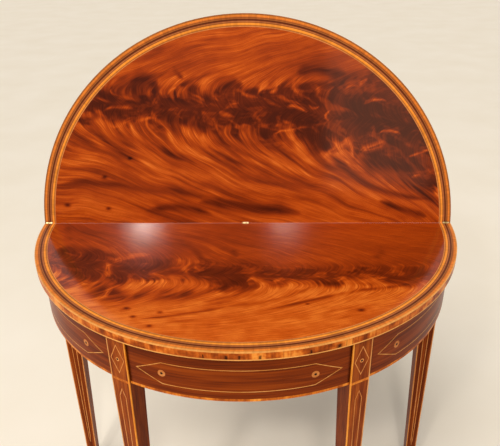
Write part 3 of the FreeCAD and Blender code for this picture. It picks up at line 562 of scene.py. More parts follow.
# %% Feather of the lower leaf
LOWER_FEATHER = {
    "seed": 21, "way": -1.0, "lobe": 0.022, "bite": 0.038, "dark": 0.40, "smoke_tone": 0.24,
    "ground": (0.61, 0.87), "calm": (0.38, 0.46), "mottle": (0.04, 0.10), "soft": (0.045, 0.022),
    "drift": ((0.034, 0.140, 0.220, 1.6, 0.020), (0.034, 0.120, 0.230, 1.9, 0.022)),
    "spine": [(-0.46, 0.150), (-0.32, 0.190), (-0.18, 0.205), (-0.03, 0.222), (0.10, 0.222), (0.20, 0.222),
              (0.30, 0.225), (0.46, 0.215)],
    "half_width": [(-0.46, 0.030), (-0.32, 0.050), (-0.20, 0.034), (-0.10, 0.022), (-0.03, 0.034),
                   (0.05, 0.024), (0.15, 0.018), (0.26, 0.020), (0.46, 0.014)],
    "slack": [(-0.46, 1.0), (0.20, 1.2), (0.46, 2.0)],
    "lean": [(0.0, 0.0)],
    "lively": [(-0.46, 1.1), (-0.05, 1.0), (0.08, 0.40), (0.46, 0.30)],
    "stray": [(0.0, 0.55)],
    "smoke": [
        (-345, 140, -318, 168, -290, 200, 28, 1.6), (-285, 200, -250, 222, -225, 245, 24, 1.5),
        (-392, 112, -350, 136, -296, 158, 26, 1.4), (-250, 196, -215, 190, -180, 196, 14, 1.1),
        (-352, 178, -322, 208, -276, 238, 20, 1.4), (-312, 232, -272, 258, -226, 276, 15, 1.0),
        (-398, 15, -388, 42, -372, 78, 9, 0.6), (-255, 168, -215, 162, -160, 166, 11, 0.7),
        (-205, 205, -170, 182, -138, 158, 16, 1.4), (-185, 104, -112, 118, -84, 180, 8, 0.7),
        (-100, 208, -45, 212, 25, 208, 28, 1.6), (-48, 272, -22, 252, 12, 232, 18, 1.6),
        (20, 210, 80, 212, 130, 218, 19, 1.3), (128, 240, 160, 250, 196, 252, 13, 1.5),
        (204, 212, 226, 206, 242, 188, 11, 1.1), (262, 232, 315, 226, 370, 212, 13, 1.1),
        (250, 158, 274, 142, 284, 112, 8, 0.5), (-310, 272, -180, 286, -40, 278, 24, 0.9),
        (-250, 372, -70, 330, 70, 296, 6, 1.6), (-20, 322, 70, 296, 140, 256, 5, 0.7),
        (20, 342, 190, 284, 360, 236, 5, 0.7), (-170, 362, -96, 348, -20, 322, 4, 0.9),
        (-212, 331, -202, 328, -190, 324, 5, 0.8), (-28, 112, -24, 130, -18, 148, 7, 0.6),
        (-240, 320, -190, 290, -160, 252, 6, 0.5),
    ],
    "licks": [
        (-274, 172, -263, 198, -254, 226, 8), (-304, 240, -286, 250, -268, 244, 9),
        (-182, 212, -150, 223, -108, 226, 8), (-132, 150, -119, 176, -106, 212, 6),
        (-92, 184, -82, 198, -74, 206, 6), (-278, 316, -252, 292, -242, 258, 8),
        (-240, 320, -199, 290, -185, 252, 8), (-216, 328, -166, 292, -150, 248, 9),
        (-180, 328, -126, 288, -110, 246, 9), (-146, 326, -92, 284, -73, 246, 9),
        (-106, 318, -64, 282, -50, 250, 8), (134, 216, 150, 214, 166, 222, 8),
        (10, 244, 20, 232, 32, 240, 6), (58, 240, 74, 234, 86, 226, 6), (178, 238, 190, 231, 200, 228, 5),
        (216, 242, 250, 236, 276, 228, 9), (-262, 168, -232, 150, -190, 140, 10),
    ],
    "knots": [(-0.138, 0.339, 0.0035), (-0.183, 0.352, 0.0035), (-0.150, 0.378, 0.003),
              (0.212, 0.331, 0.0045), (0.120, 0.313, 0.0025), (-0.20, 0.327, 0.003)],
}
print("lower leaf:", len(LOWER_FEATHER["smoke"]), "strokes of smoke,", len(LOWER_FEATHER["licks"]), "licks")

# %% [markdown]
# Grain along the tongues. Taking the drift away from x gives one number for each tongue: noise on that
# number, slow along the tongue and quick across it, is the wood's grain. Three widths of it, and two clouds
# that don't follow the grain, are worked out once and kept under names for the steps that come after.

# %% Tongues
FAR_PAGE = 40.0                 # a shift that keeps the noise of the two sides apart
CLOSE_REACH = 0.09
CURL = {"size": 0.03, "by": 0.009}
RUN_SHARE = 0.8
MOST_CROWDING = 1.6


def grained(at, width, length, shift):
    """Noise drawn out along the tongues. Where they lie close together it is taken at twice and four times
    the width, by how often the crowding doubles, so that streaks don't grow too thin."""
    return sum(np.clip(1 - np.abs(at.crowding - k), 0, 1)
               * sway(at.tongue / (width * 2 ** k) + at.page + 7.7 * k, at.run / length, at.seed + shift)
               for k in range(3))


def tongues(x, out, lines):
    """Where points lie among the tongues, as named arrays. Slow noise bends the points first. The offset is
    how far they lie past the spine, the tongue's number is x less the sideways drift, and the run is the
    distance plus most of the drift. The crowding is the binary logarithm of how much closer the drift's
    slope brings tongues together."""
    seed = lines["seed"]
    at = SimpleNamespace(seed=seed)
    at.x = swayed(x, x, out, seed + 50, size=0.12, by=0.012)
    at.out = swayed(out, x, out, seed + 60, size=0.10, by=0.010)
    at.offset = at.out - along_points(at.x, lines["spine"])
    at.distance = np.abs(at.offset)
    at.near = at.offset < 0
    at.page = np.where(at.near, 0.0, FAR_PAGE)
    drift = np.where(at.near, *(drift_of(at.distance, *numbers) for numbers in lines["drift"]))
    lean = np.where(at.near, along_points(at.x, lines["lean"]), 0.0)
    drift, slope = drift * along_points(at.x, lines["slack"]) + np.stack([lean * at.distance, lean])
    at.crowding = np.clip(np.log2(np.hypot(1, slope)), 0, MOST_CROWDING)
    at.run = at.distance + RUN_SHARE * drift
    at.close = np.exp(-(at.distance / CLOSE_REACH) ** 2)
    at.tongue = at.x - lines["way"] * drift
    curl = sway(at.tongue / CURL["size"] + at.page, at.distance / CURL["size"], seed + 70)
    at.tongue = at.tongue + CURL["by"] * at.close * curl
    at.apart = ease(0, 0.010, at.distance)
    at.broad = grained(at, width=0.034, length=0.14, shift=1) * at.apart
    at.streak = grained(at, width=0.014, length=0.09, shift=11) * at.apart
    at.fine = grained(at, width=0.005, length=0.07, shift=21) * at.apart
    at.cloud = sway(at.x / 0.045, at.out / 0.028, seed + 31, 3)
    at.drifted = sway(at.x / 0.10 + 5, at.out / 0.05, seed + 35)
    at.lively = along_points(at.x, lines["lively"])
    return at


sample = tongues(np.array([0.1]), np.array([0.2]), UPPER_FEATHER)
print("a point of the raised leaf lies %.0f mm from the spine" % (sample.distance[0] / MM))

# %% [markdown]
# Ground and band. The light wood is a ground with streaks along the tongues, dark veins and a fine mottle.
# The dark band follows the spine, its edge runs out between the tongues, and inside it dark wood is clouded
# and flecked.

# %% Ground and band
def ground_tone(x, out, at, lines):
    """Tone of the light wood: the side's own tone, plus streaks of three widths that calm down away from
    the spine, less two sizes of vein that keep clear of the band, plus a slow change and a fine mottle."""
    calm = np.where(at.near, *lines["calm"]) * (1 - 0.35 * ease(0.09, 0.20, at.distance)) * at.lively
    middle_tone = 0.5 * sum(lines["ground"])
    tone = mixed(middle_tone, np.where(at.near, *lines["ground"]), ease(0, 0.05, at.distance))
    tone = tone + calm * (0.15 * np.tanh(2 * at.broad) + 0.15 * at.streak + 0.24 * at.fine)
    tone = tone + calm * at.close * (0.06 * at.broad + 0.12 * at.streak)
    vein = 0.24 * ease(0.10, 0.55, grained(at, width=0.024, length=0.20, shift=91))
    vein = vein + 0.20 * ease(0.20, 0.55, grained(at, width=0.009, length=0.24, shift=93))
    tone = tone - calm * vein * (1 - 0.6 * at.close)
    tone = tone + 0.08 * sway(x / 0.16, out / 0.12, at.seed + 95)
    return tone + np.where(at.near, *lines["mottle"]) * sway(x / 0.022, out / 0.013, at.seed + 97, 3)


def dark_band(at, lines):
    """Share of the dark band, and its tone. Lobes along the tongues bite into the half width or let the
    band's edge tail off between them. The tone is the band's own, changed by the cloud, the streaks and
    small flecks."""
    wide = grained(at, width=lines["lobe"], length=0.25, shift=5)
    narrow = grained(at, width=lines["lobe"] / 2.3, length=0.12, shift=6)
    lobe = (0.75 * wide + 0.40 * narrow) * at.lively
    reach = along_points(at.x, lines["half_width"]) * (1 + 0.15 * at.broad + 0.20 * at.drifted)
    reach = reach - lines["bite"] * lobe
    tail = np.where(at.near, *lines["soft"]) * (1 + 0.6 * at.drifted) + 0.090 * np.clip(-lobe, 0, 1)
    band = 1 - ease(0, 1, (at.distance - reach + 0.010) / tail)
    fleck = ease(0.10, 0.60, sway(at.x / 0.020 + 0.5 * at.cloud, at.out / 0.008, at.seed + 33, 3))
    return band, lines["dark"] + 0.14 * at.cloud + 0.06 * at.streak + 0.16 * fleck


share, tone = dark_band(sample, UPPER_FEATHER)
print("the band's share at that point is %.2f, and its tone %.2f" % (share[0], tone[0]))

# %% [markdown]
# The whole feather. Smoke goes over the ground and the band first, torn along the grain. Licks of light
# come over it, each with a few bright ridges along it, then stray licks inside the band, and last the pin
# knots.

# %% The feather
LICK_TONE = 0.86
STRAY_TONE = 0.78
KNOT_DEPTH = 0.5
TEAR = {"size": 0.028, "by": 0.005, "octaves": 3}


def feather(x, out, lines):
    """Tone from 0, dark, to 1, light, and place in the grain (run, tongue) of points on a leaf: the ground
    mixed with the band, and then with each stroke of smoke and lick of light by its share. A knot is a
    bell, half as wide again as it is high."""
    at = tongues(x, out, lines)
    band, dark = dark_band(at, lines)
    tone = mixed(ground_tone(x, out, at, lines), dark, band)
    smoky = np.clip(0.62 + 0.55 * at.streak + 0.60 * at.fine + 0.35 * at.broad, 0.05, 1)
    for *row, strength in lines["smoke"]:
        share = stroke(at.x, at.out, row)[0] * np.clip(strength * smoky, 0, 1)
        tone = mixed(tone, lines["smoke_tone"], share)
    torn_x = swayed(x, x, out, at.seed + 80, **TEAR)
    torn_out = swayed(out, x, out, at.seed + 84, **TEAR)
    for n, row in enumerate(lines["licks"]):
        share, run, across = stroke(torn_x, torn_out, row)
        ridge = ease(0.35, 0.95, 1 - np.abs(sway(across / 0.006 + 5.3 * n, run / 0.030, at.seed + 8)))
        tone = mixed(tone, LICK_TONE, share * (0.20 + 0.72 * ridge))
    hooked = at.tongue + 1.2 * lines["way"] * at.offset
    stray = sway(hooked / 0.020 + 0.6 * at.cloud, at.distance / 0.020 + at.page, at.seed + 41, 3) * at.apart
    tone = mixed(tone, STRAY_TONE, along_points(at.x, lines["stray"]) * ease(0.0, 0.65, stray) * band)
    for middle, rise, size in lines["knots"]:
        tone = tone - KNOT_DEPTH * np.exp(-((x - middle) / (1.5 * size)) ** 2 - ((out - rise) / size) ** 2)
    return np.clip(tone, 0, 1), at.run, at.tongue


print("tone at that point:", round(float(feather(np.array([0.1]), np.array([0.2]), UPPER_FEATHER)[0][0]), 3))

# %% [markdown]
# The field veneers. Each is a thin half-round sheet. Its show face is a fine grid, so that the tone and the
# place in the grain can be kept on its points; a skirt and one face close it underneath. A square grid is
# bent onto a half disc by the elliptical map, which has no pole where faces would shrink to nothing.

# %% Half-round grid on a leaf
ACROSS_COUNT = 420
OUT_COUNT = 210
FACE_DROP = HINGE.z - highest[2]


def half_round_grid(radius, set_back, across_count, out_count):
    """Grid points (x, distance from the straight edge) of a disc cut off set_back from its middle. A unit
    square goes to a half disc by x = u sqrt(1 - v v / 2), y = v sqrt(1 - u u / 2), and y is then carried to
    the arc."""
    u = np.linspace(-1, 1, across_count)[:, None]
    v = np.linspace(0, 1, out_count)[None, :]
    disc_x = u * np.sqrt(1 - v * v / 2)
    disc_y = v * np.sqrt(1 - u * u / 2)
    full = np.sqrt(np.clip(1 - disc_x ** 2, 0, None))
    share = np.divide(disc_y, full, out=np.zeros_like(disc_y), where=full > 1e-9)
    x = disc_x * math.sqrt(radius ** 2 - set_back ** 2)
    return x, np.clip(share, 0, 1) * (np.sqrt(radius ** 2 - x ** 2) - set_back)


def on_leaf(x, out, height, opening, face):
    """World points of a leaf that has opened by an angle about the hinge line. Its length runs from the
    crease along (-cos, sin) in y and z, and its show face looks along face times (sin, cos)."""
    out = out + CREASE_GAP
    height = face * (height - FACE_DROP)
    y = HINGE.y - out * math.cos(opening) + height * math.sin(opening)
    z = HINGE.z + out * math.sin(opening) + height * math.cos(opening)
    return np.stack([x, y, z], axis=-1)


print("show faces lie %.2f mm from the hinge line's level" % (FACE_DROP / MM))


# %% Field veneer sheets
def keep_on_points(mesh, name, kind, field, values):
    """Store one value or vector for each point of a mesh, under a name that a shader can read."""
    kept = mesh.attributes.new(name, kind, "POINT")
    kept.data.foreach_set(field, values.astype(np.float32).ravel())


def field_veneer(name, opening, face, lines, thickness):
    """Sheet with the feather on its show face: a grid on top, the same rim below, a skirt and one face
    under it. The grid runs the other way on a leaf that lies face up, so that its faces point outwards."""
    x, out = half_round_grid(FIELD_RADIUS, MIDDLE_BACK, ACROSS_COUNT, OUT_COUNT)
    x = -face * x
    tone, run, tongue = feather(x, out, lines)
    number = np.arange(x.size).reshape(x.shape)
    corners = [number[:-1, :-1], number[1:, :-1], number[1:, 1:], number[:-1, 1:]]
    quads = np.stack(corners, axis=-1).reshape(-1, 4)
    rim = np.concatenate([number[:-1, 0], number[-1, :-1], number[:0:-1, -1], number[0, :0:-1]])
    under = x.size + np.arange(rim.size)
    skirt = np.stack([rim, under, np.roll(under, -1), np.roll(rim, -1)], axis=-1)
    top = on_leaf(x, out, 0.0, opening, face).reshape(-1, 3)
    bottom = on_leaf(x.ravel()[rim], out.ravel()[rim], -thickness, opening, face)
    mesh = bpy.data.meshes.new(name)
    faces = quads.tolist() + skirt.tolist() + [under[::-1].tolist()]
    mesh.from_pydata(np.concatenate([top, bottom]).tolist(), [], faces)
    keep_on_points(mesh, "tone", "FLOAT", "value", np.concatenate([tone.ravel(), tone.ravel()[rim]]))
    grain = np.stack([run, tongue, np.zeros_like(run)], axis=-1).reshape(-1, 3)
    keep_on_points(mesh, "grain", "FLOAT_VECTOR", "vector", np.concatenate([grain, grain[rim]]))
    sheet = bpy.data.objects.new(name, mesh)
    bpy.context.scene.collection.objects.link(sheet)
    print(name, "has", len(mesh.polygons), "faces, mean tone", round(float(tone.mean()), 3))
    return sheet


VENEER = highest[2] - lowest[2]
lower_flame = field_veneer("lower_flame_veneer", LOWER_OPENING, 1, LOWER_FEATHER, VENEER)
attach(lower_flame, "frame")
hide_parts("lower_field_veneer")
upper_flame = field_veneer("upper_flame_veneer", UPPER_OPENING, -1, UPPER_FEATHER, VENEER)
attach(upper_flame, "upper_leaf")
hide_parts("upper_field_veneer")
dressed.update(("lower_field_veneer", "upper_field_veneer"))

# %% [markdown]
# The flame finish. The tone kept on the points picks a colour between near-black brown and pale orange.
# Finer fibre and pores, which the grid can't hold, follow the same tongues, because the place in the grain
# is kept too. The flat leaves are rubbed to a clear coat of the usual index, heavy on the lower leaf, where
# it mirrors the raised one softly, and thin on the raised leaf, which would look hazy under more.

# %% Finish: flame mahogany
FLAME_TONES = [(0.0, "#260A02"), (0.2, "#481503"), (0.4, "#6E2405"), (0.6, "#963607"), (0.8, "#BE500E"),
               (1.0, "#DE7626")]
LEAF_POLISH = {"Specular_IOR_Level": 0.02, "Coat_Roughness": 0.11, "Coat_IOR": 1.5}
PORE_BROWN = "#3A1206"
LOWER_COAT = 0.55
UPPER_COAT = 0.12


def flame_finish(name, coat):
    """Colour picked by the tone with fibre added, pores laid over it, and a clear coat of the given weight.
    The fibre fades out in dark wood, by a factor that rises with the tone."""
    finish, tree, shader = new_finish(name, Coat_Weight=coat, **LEAF_POLISH)
    tone = add(tree, "Attribute", attribute_name="tone").outputs["Fac"]
    grain = add(tree, "Attribute", attribute_name="grain").outputs["Vector"]
    fibre = use(tree, wood_fibre, Place=grain, Length=0.09, Width=0.0045, Wander=0.0)
    thread = use(tree, wood_fibre, Place=grain, Length=0.05, Width=0.0021, Wander=0.0)
    clear = sums(tree, "MULTIPLY_ADD", tone, 1.1, 0.05)
    lined = tone
    for value, share in ((fibre["Figure"], 0.65), (thread["Figure"], 0.65), (fibre["Fibre"], 0.25)):
        ripple = sums(tree, "MULTIPLY", sums(tree, "SUBTRACT", value, 0.5), share)
        lined = sums(tree, "MULTIPLY_ADD", ripple, clear, lined)
    colour = stain(tree, ramp(tree, lined, FLAME_TONES), fibre["Pores"], 0.35, PORE_BROWN)
    lay_polish(tree, shader, colour, FINE_RELIEF)
    return finish


lower_flame.data.materials.append(flame_finish("lower_flame_mahogany", LOWER_COAT))
upper_flame.data.materials.append(flame_finish("upper_flame_mahogany", UPPER_COAT))
print("flame finishes:", [finish.name for finish in bpy.data.materials if "flame" in finish.name])

# %% [markdown]
# Straight-grained woods. The other woods differ in colour, in how broad their bands are and in how much
# they shine, so one function makes them all. It is told where the grain runs: round the curve of the apron,
# up a leg, along a plain board, or from front to back. Its fibre then follows by itself.

# %% Grain directions
def along_board(tree):
    """Grain from left to right."""
    return object_place(tree)


def up_leg(tree):
    """Grain that stands upright."""
    x, y, z = axes(tree, object_place(tree))
    return from_axes(tree, z, x, y)


def front_to_back(tree):
    """Grain from front to back."""
    x, y, z = axes(tree, object_place(tree))
    return from_axes(tree, y, x, z)


def round_curve(tree):
    """Grain that follows the curve of the top."""
    return use(tree, round_top, Opening=LOWER_OPENING)["Unrolled"]


print("grain runs", [way.__name__ for way in (along_board, up_leg, front_to_back, round_curve)])


# %% Straight-grained wood
def wood_finish(name, place_of, sizes, colour_of, pores=(0.3, PORE_BROWN), rub=POLISH_RUB, **constants):
    """A finish whose colour follows the fibre at a place: sizes are the figure's length, width and wander,
    and colour_of is a list of stops, or a function that turns the fibre's tone into a colour. The pores
    have a share and a colour."""
    finish, tree, shader = new_finish(name, **constants)
    length, width, wander = sizes
    fibre = use(tree, wood_fibre, Place=place_of(tree), Length=length, Width=width, Wander=wander)
    tone = sums(tree, "MULTIPLY_ADD", fibre["Fibre"], 0.45, sums(tree, "MULTIPLY", fibre["Figure"], 0.55))
    tone = fade(tree, tone, 0.30, 0.70)
    colour = colour_of(tree, tone) if callable(colour_of) else ramp(tree, tone, colour_of)
    colour = stain(tree, colour, fibre["Pores"], *pores)
    lay_polish(tree, shader, colour, FIBRE_RELIEF, fibre["Fibre"], rub)
    return finish


def dress_woods(rows, **shared):
    """A finish for each row, put on its solids: a row is a name, a grain, sizes, colours and solids."""
    for name, place_of, sizes, colour_of, *solids in rows:
        dress(wood_finish(name, place_of, sizes, colour_of, **shared), *solids)


print("wood helpers:", [job.__name__ for job in (wood_finish, dress_woods)])

# %% [markdown]
# Where a point lies on a front leg. The dies stand turned on the curve, so neither X nor Y runs across
# them. The group folds the left leg onto the right, turns by the angle at which the legs stand, and gives
# back the distance across from the leg's middle line, positive on the outer side, and the reach from the
# circle's middle along that line, which is largest on the show face.

# %% Group: on a front leg
TOP_MIDDLE_Y = HINGE.y - CREASE_GAP + MIDDLE_BACK
dot_low, dot_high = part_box("right_front_leg_dot")
DOT_X = (dot_low[0] + dot_high[0]) / 2
DOT_Y = (dot_low[1] + dot_high[1]) / 2
LEG_ANGLE = math.atan2(DOT_X, TOP_MIDDLE_Y - DOT_Y)
FACE_REACH = DOT_X * math.sin(LEG_ANGLE) + (TOP_MIDDLE_Y - dot_low[1]) * math.cos(LEG_ANGLE)

on_front_leg, given, result = new_group(
    "on_front_leg", {"Angle": ("Float", LEG_ANGLE)}, {"Across": "Float", "Reach": "Float"})
tree = on_front_leg
x, y, z = axes(tree, object_place(tree))
x = sums(tree, "ABSOLUTE", x)
y = sums(tree, "SUBTRACT", TOP_MIDDLE_Y, y)
turn_sin = sums(tree, "SINE", given["Angle"])
turn_cos = sums(tree, "COSINE", given["Angle"])
across = sums(tree, "SUBTRACT", sums(tree, "MULTIPLY", x, turn_cos), sums(tree, "MULTIPLY", y, turn_sin))
reach = sums(tree, "ADD", sums(tree, "MULTIPLY", x, turn_sin), sums(tree, "MULTIPLY", y, turn_cos))
connect(tree, result, Across=across, Reach=reach)
print("front legs stand at %.1f degrees, reach %.1f mm" % (math.degrees(LEG_ANGLE), FACE_REACH / MM))

# %% [markdown]
# Apron and legs. The apron is veneered with plain mahogany, its grain level round the curve, and beside the
# legs it is painted darker: partly painted shade, partly dirt gathered there. The legs are solid mahogany
# with the grain upright; the show face of a front leg is paler and livelier than its sides, whose darker
# brown is partly painted shade.

# %% Finish: plain mahogany
APRON_BROWNS = [(0.0, "#581E04"), (0.5, "#782E06"), (1.0, "#923F0A")]
LEG_BROWNS = [(0.0, "#541C06"), (0.5, "#76300A"), (1.0, "#984412")]
SHOW_BROWNS = [(0.0, "#662406"), (0.5, "#883A0B"), (1.0, "#AA5416")]
# the darker browns of a front leg's sides are partly painted shade
SIDE_BROWNS_WITH_PAINTED_SHADE = [(0.0, "#521D02"), (0.5, "#702C04"), (1.0, "#8A3C08")]
CORE_BROWNS = [(0.0, "#5A260F"), (0.5, "#7A3A18"), (1.0, "#935026")]
# near-black brown laid beside the dies: partly painted shade, partly dirt
PAINTED_SHADE_AND_SOIL = "#240A03"
PAINTED_SHADE_AND_SOIL_REACH = 8 * MM
DIE_HALF = 20 * MM
SHOW_REACH = FACE_REACH - 1.5 * MM
SHOW_EDGE = 0.5 * MM


def apron_colour(tree, tone):
    """Brown of the apron, darkened beside the dies with painted shade and dirt, which fade out along the arc
    from a die's side.
    """
    arc = axes(tree, round_curve(tree))[0]
    from_leg = sums(tree, "SUBTRACT", sums(tree, "ABSOLUTE", arc), LEG_ANGLE * TOP_RADIUS)
    from_side = sums(tree, "SUBTRACT", sums(tree, "ABSOLUTE", from_leg), DIE_HALF)
    # painted shade and dirt beside the dies, fading out within the reach
    painted_shade_and_soil = fade(tree, from_side, 0.0, PAINTED_SHADE_AND_SOIL_REACH, 0.80, 0.0)
    return blend(tree, painted_shade_and_soil, ramp(tree, tone, APRON_BROWNS), tint(PAINTED_SHADE_AND_SOIL))


def front_leg_colour(tree, tone):
    """Brown of a front leg: lively on the show face, plain and darker on the sides behind it, partly as
    painted shade.
    """
    show = fade(tree, use(tree, on_front_leg)["Reach"], SHOW_REACH - SHOW_EDGE, SHOW_REACH)
    # the sides behind the show face take darker browns, partly painted shade
    return blend(tree, show, ramp(tree, tone, SIDE_BROWNS_WITH_PAINTED_SHADE), ramp(tree, tone, SHOW_BROWNS))


dress_woods([
    ("apron_mahogany", round_curve, (0.30, 0.016, 0.006), apron_colour,
     "front_apron_veneer", "left_apron_veneer", "right_apron_veneer"),
    ("front_leg_mahogany", up_leg, (0.12, 0.010, 0.006), front_leg_colour,
     "left_front_leg", "right_front_leg"),
    ("back_leg_mahogany", up_leg, (0.25, 0.010, 0.006), LEG_BROWNS, "left_back_leg", "right_back_leg"),
    ("outer_face_mahogany", along_board, (0.40, 0.030, 0.020), APRON_BROWNS, "upper_outer_veneer"),
], **POLISHED)
dress_woods([
    ("core_mahogany", along_board, (0.30, 0.018, 0.008), CORE_BROWNS, "lower_leaf_core", "upper_leaf_core"),
], rub={"Gloss": 0.55, "Smear": 0.14})

# %% [markdown]
# Bandings of the leaves. From the field outwards: a boxwood line, satinwood in two shades, rosewood, a
# crossband that pales towards the rim, and the arris strings, with thin dark lines between the shades. On
# the raised leaf the arris strings are painted darker towards the rim, as painted shade on its rounded edge.
# Within one solid the shade changes with the radius, so each ring reads the radius as well as its own
# grain. The upper leaf's rings need the upper leaf's opening, so both leaves get their own set.

# %% Finish: ring bandings
RING_TONES = {                  # stops of a radius in metres and a colour
    "box_line": [(0.4312, "#D28242"), (0.4328, "#E09050"), (0.4333, "#9A5226"), (0.4340, "#9A5226")],
    "satinwood": [(0.4340, "#D07A2C"), (0.4352, "#F0922F"), (0.4362, "#FF9E3C"), (0.4380, "#FF9E3C"),
                  (0.4391, "#D07830"), (0.4396, "#8A481E"), (0.4402, "#8A481E"), (0.4408, "#C47844"),
                  (0.4420, "#BC7040"), (0.4425, "#A05A2E")],
    "rosewood": [(0.4425, "#94502A"), (0.4434, "#7A3C1E"), (0.4440, "#682E18"), (0.4454, "#5C2814"),
                 (0.4459, "#72381C"), (0.4464, "#A05E30"), (0.4468, "#AC6636")],
    "crossband": [(0.4468, "#B46C36"), (0.4477, "#B06832"), (0.4482, "#844420"), (0.4487, "#844420"),
                  (0.4493, "#C06A2C"), (0.4510, "#E07C30"), (0.4522, "#F08A36"), (0.4532, "#EE8834"),
                  (0.4540, "#D87A30")],
    "lower_arris": [(0.4540, "#E48A3A"), (0.4570, "#F8AE5C")],
    # the raised leaf's arris strings: darker than the lower leaf's and darker towards the rim, painted shade
    # on the rounded edge
    "upper_arris": [(0.4540, "#B87034"), (0.4570, "#A4602C")],
}
RING_PIECES = {                 # a piece's length, and how dark its joints are
    "box_line": (0.060, 0.04),
    "satinwood": (0.040, 0.04),
    "rosewood": (0.090, 0.10),
    "crossband": (0.014, 0.18),
}
ARRIS_PIECES = (0.030, 0.10)
JOINT_BROWN = "#2A0E06"
SHADOW_BROWN = "#4A1A08"


def ring_finish(name, opening, tones, piece, joint_share):
    """A ring whose shade changes with the radius, cut in pieces across it with fine fibre."""
    finish, tree, shader = new_finish(name, **POLISHED)
    inner, outer = tones[0][0], tones[-1][0]
    arc, high, radius = axes(tree, use(tree, round_top, Opening=opening)["Unrolled"])
    outward = from_axes(tree, radius, arc, high)
    fibre = use(tree, wood_fibre, Place=outward, Length=0.05, Width=0.006, Wander=0.0)
    cut = use(tree, crossband_pieces, Along=arc, Piece=piece)
    share = fade(tree, radius, inner, outer, kind="LINEAR")
    colour = ramp(tree, share, [((at - inner) / (outer - inner), code) for at, code in tones])
    light = sums(tree, "MULTIPLY_ADD", cut["Shade"], 0.28, sums(tree, "MULTIPLY", fibre["Figure"], 0.75))
    colour = blend(tree, fade(tree, light, 0.15, 0.85, 0.38, 0.0), colour, tint(SHADOW_BROWN))
    colour = stain(tree, colour, cut["Joint"], joint_share, JOINT_BROWN)
    lay_polish(tree, shader, colour, FINE_RELIEF, fibre["Fibre"])
    return finish


for leaf, opening in (("lower", LOWER_OPENING), ("upper", UPPER_OPENING)):
    for ring, pieces in RING_PIECES.items():
        finish = ring_finish(leaf + "_" + ring, opening, RING_TONES[ring], *pieces)
        dress(finish, leaf + "_" + ring + "_band")
    finish = ring_finish(leaf + "_arris_box", opening, RING_TONES[leaf + "_arris"], *ARRIS_PIECES)
    dress(finish, leaf + "_arris_strings")

# %% [markdown]
# Crossbanded edges. The edge of each leaf, the foot of the apron and the dies carry short upright pieces in
# many shades of orange and brown. Some joints have opened into black cracks, and along the front of the
# lower leaf's edge small chips of veneer are gone.

# %% Finish: edge crossband
EDGE_BROWNS = [(0.0, "#76300A"), (0.30, "#A84C12"), (0.60, "#CC681E"), (1.0, "#F0983E")]
FOOT_BROWNS = [(0.0, "#93420F"), (0.5, "#CC6E20"), (1.0, "#EE9A3C")]
CRACK_BLACK = "#140604"
CHIP_BLACK = "#1E0804"
PATCH_SIZE = (0.032, 0.030)
CHIP_TOP = 9 * MM
CHIP_EDGE = 4 * MM
TOP_WOBBLE = 8 * MM
END_WOBBLE = 5 * MM
CHIPS = [(-0.054, 0.0022), (-0.017, 0.0045), (0.004, 0.0035), (0.038, 0.0040), (0.120, 0.0030),
         (0.170, 0.0090)]


def chipped(tree, colour, arc, high, patch, figure):
    """A colour with dark chips, each a middle along the arc and a half length. They lie in the lower part
    of the band, and noise makes their ends and tops ragged."""
    top = sums(tree, "MULTIPLY_ADD", figure, TOP_WOBBLE, sums(tree, "SUBTRACT", high, CHIP_TOP))
    below = fade(tree, top, 0.0, CHIP_EDGE)
    ragged = sums(tree, "MULTIPLY_ADD", sums(tree, "SUBTRACT", patch, 0.5), END_WOBBLE, arc)
    for middle, half in CHIPS:
        away = sums(tree, "ABSOLUTE", sums(tree, "SUBTRACT", ragged, middle))
        chip = sums(tree, "MULTIPLY", fade(tree, away, 0.0, half, 0.90, 0.0), below)
        colour = blend(tree, chip, colour, tint(CHIP_BLACK))
    return colour


def edge_finish(name, opening, stops, piece, crack_share, with_chips=False):
    """Upright pieces round the curve: patches of shade that run over several pieces, a little of each
    piece's own, fine fibre across the band and a few dark cracks."""
    finish, tree, shader = new_finish(name, **POLISHED)
    unrolled = use(tree, round_top, Opening=opening)["Unrolled"]
    arc, high, radius = axes(tree, unrolled)
    cut = use(tree, crossband_pieces, Along=arc, Piece=piece)
    upright = from_axes(tree, high, arc, radius)
    fibre = use(tree, wood_fibre, Place=upright, Length=0.06, Width=0.005, Wander=0.002)
    patch = noise(tree, stretch(tree, unrolled, *PATCH_SIZE), 1.0, 3.0, 0.6)
    tone = sums(tree, "MULTIPLY_ADD", cut["Shade"], 0.08, sums(tree, "MULTIPLY", fibre["Figure"], 0.20))
    tone = fade(tree, sums(tree, "MULTIPLY_ADD", patch, 0.70, tone), 0.32, 0.68)
    colour = stain(tree, ramp(tree, tone, stops), cut["Joint"], 0.14, PORE_BROWN)
    colour = stain(tree, colour, cut["Crack"], crack_share, CRACK_BLACK)
    if with_chips:
        colour = chipped(tree, colour, arc, high, patch, fibre["Figure"])
    lay_polish(tree, shader, colour, FIBRE_RELIEF, fibre["Fibre"])
    return finish


for leaf, opening in (("lower", LOWER_OPENING), ("upper", UPPER_OPENING)):
    finish = edge_finish(leaf + "_edge_crossband", opening, EDGE_BROWNS, piece=0.012, crack_share=0.9,
                         with_chips=leaf == "lower")
    dress(finish, leaf + "_edge_banding")
foot_finish = edge_finish("apron_foot_crossband", LOWER_OPENING, FOOT_BROWNS, piece=0.010, crack_share=0.3)
dress(foot_finish, "apron_bandings", "left_front_leg_band", "right_front_leg_band")

# %% [markdown]
# Stringing. Boxwood strings are thin pale strips let into the ground. Polish has yellowed them, and dirt
# has dimmed the fine lines. The strings on the corners of a front leg are rubbed brighter, most of all on
# the inner corner. The dots at the middle of the rings are a black wood.

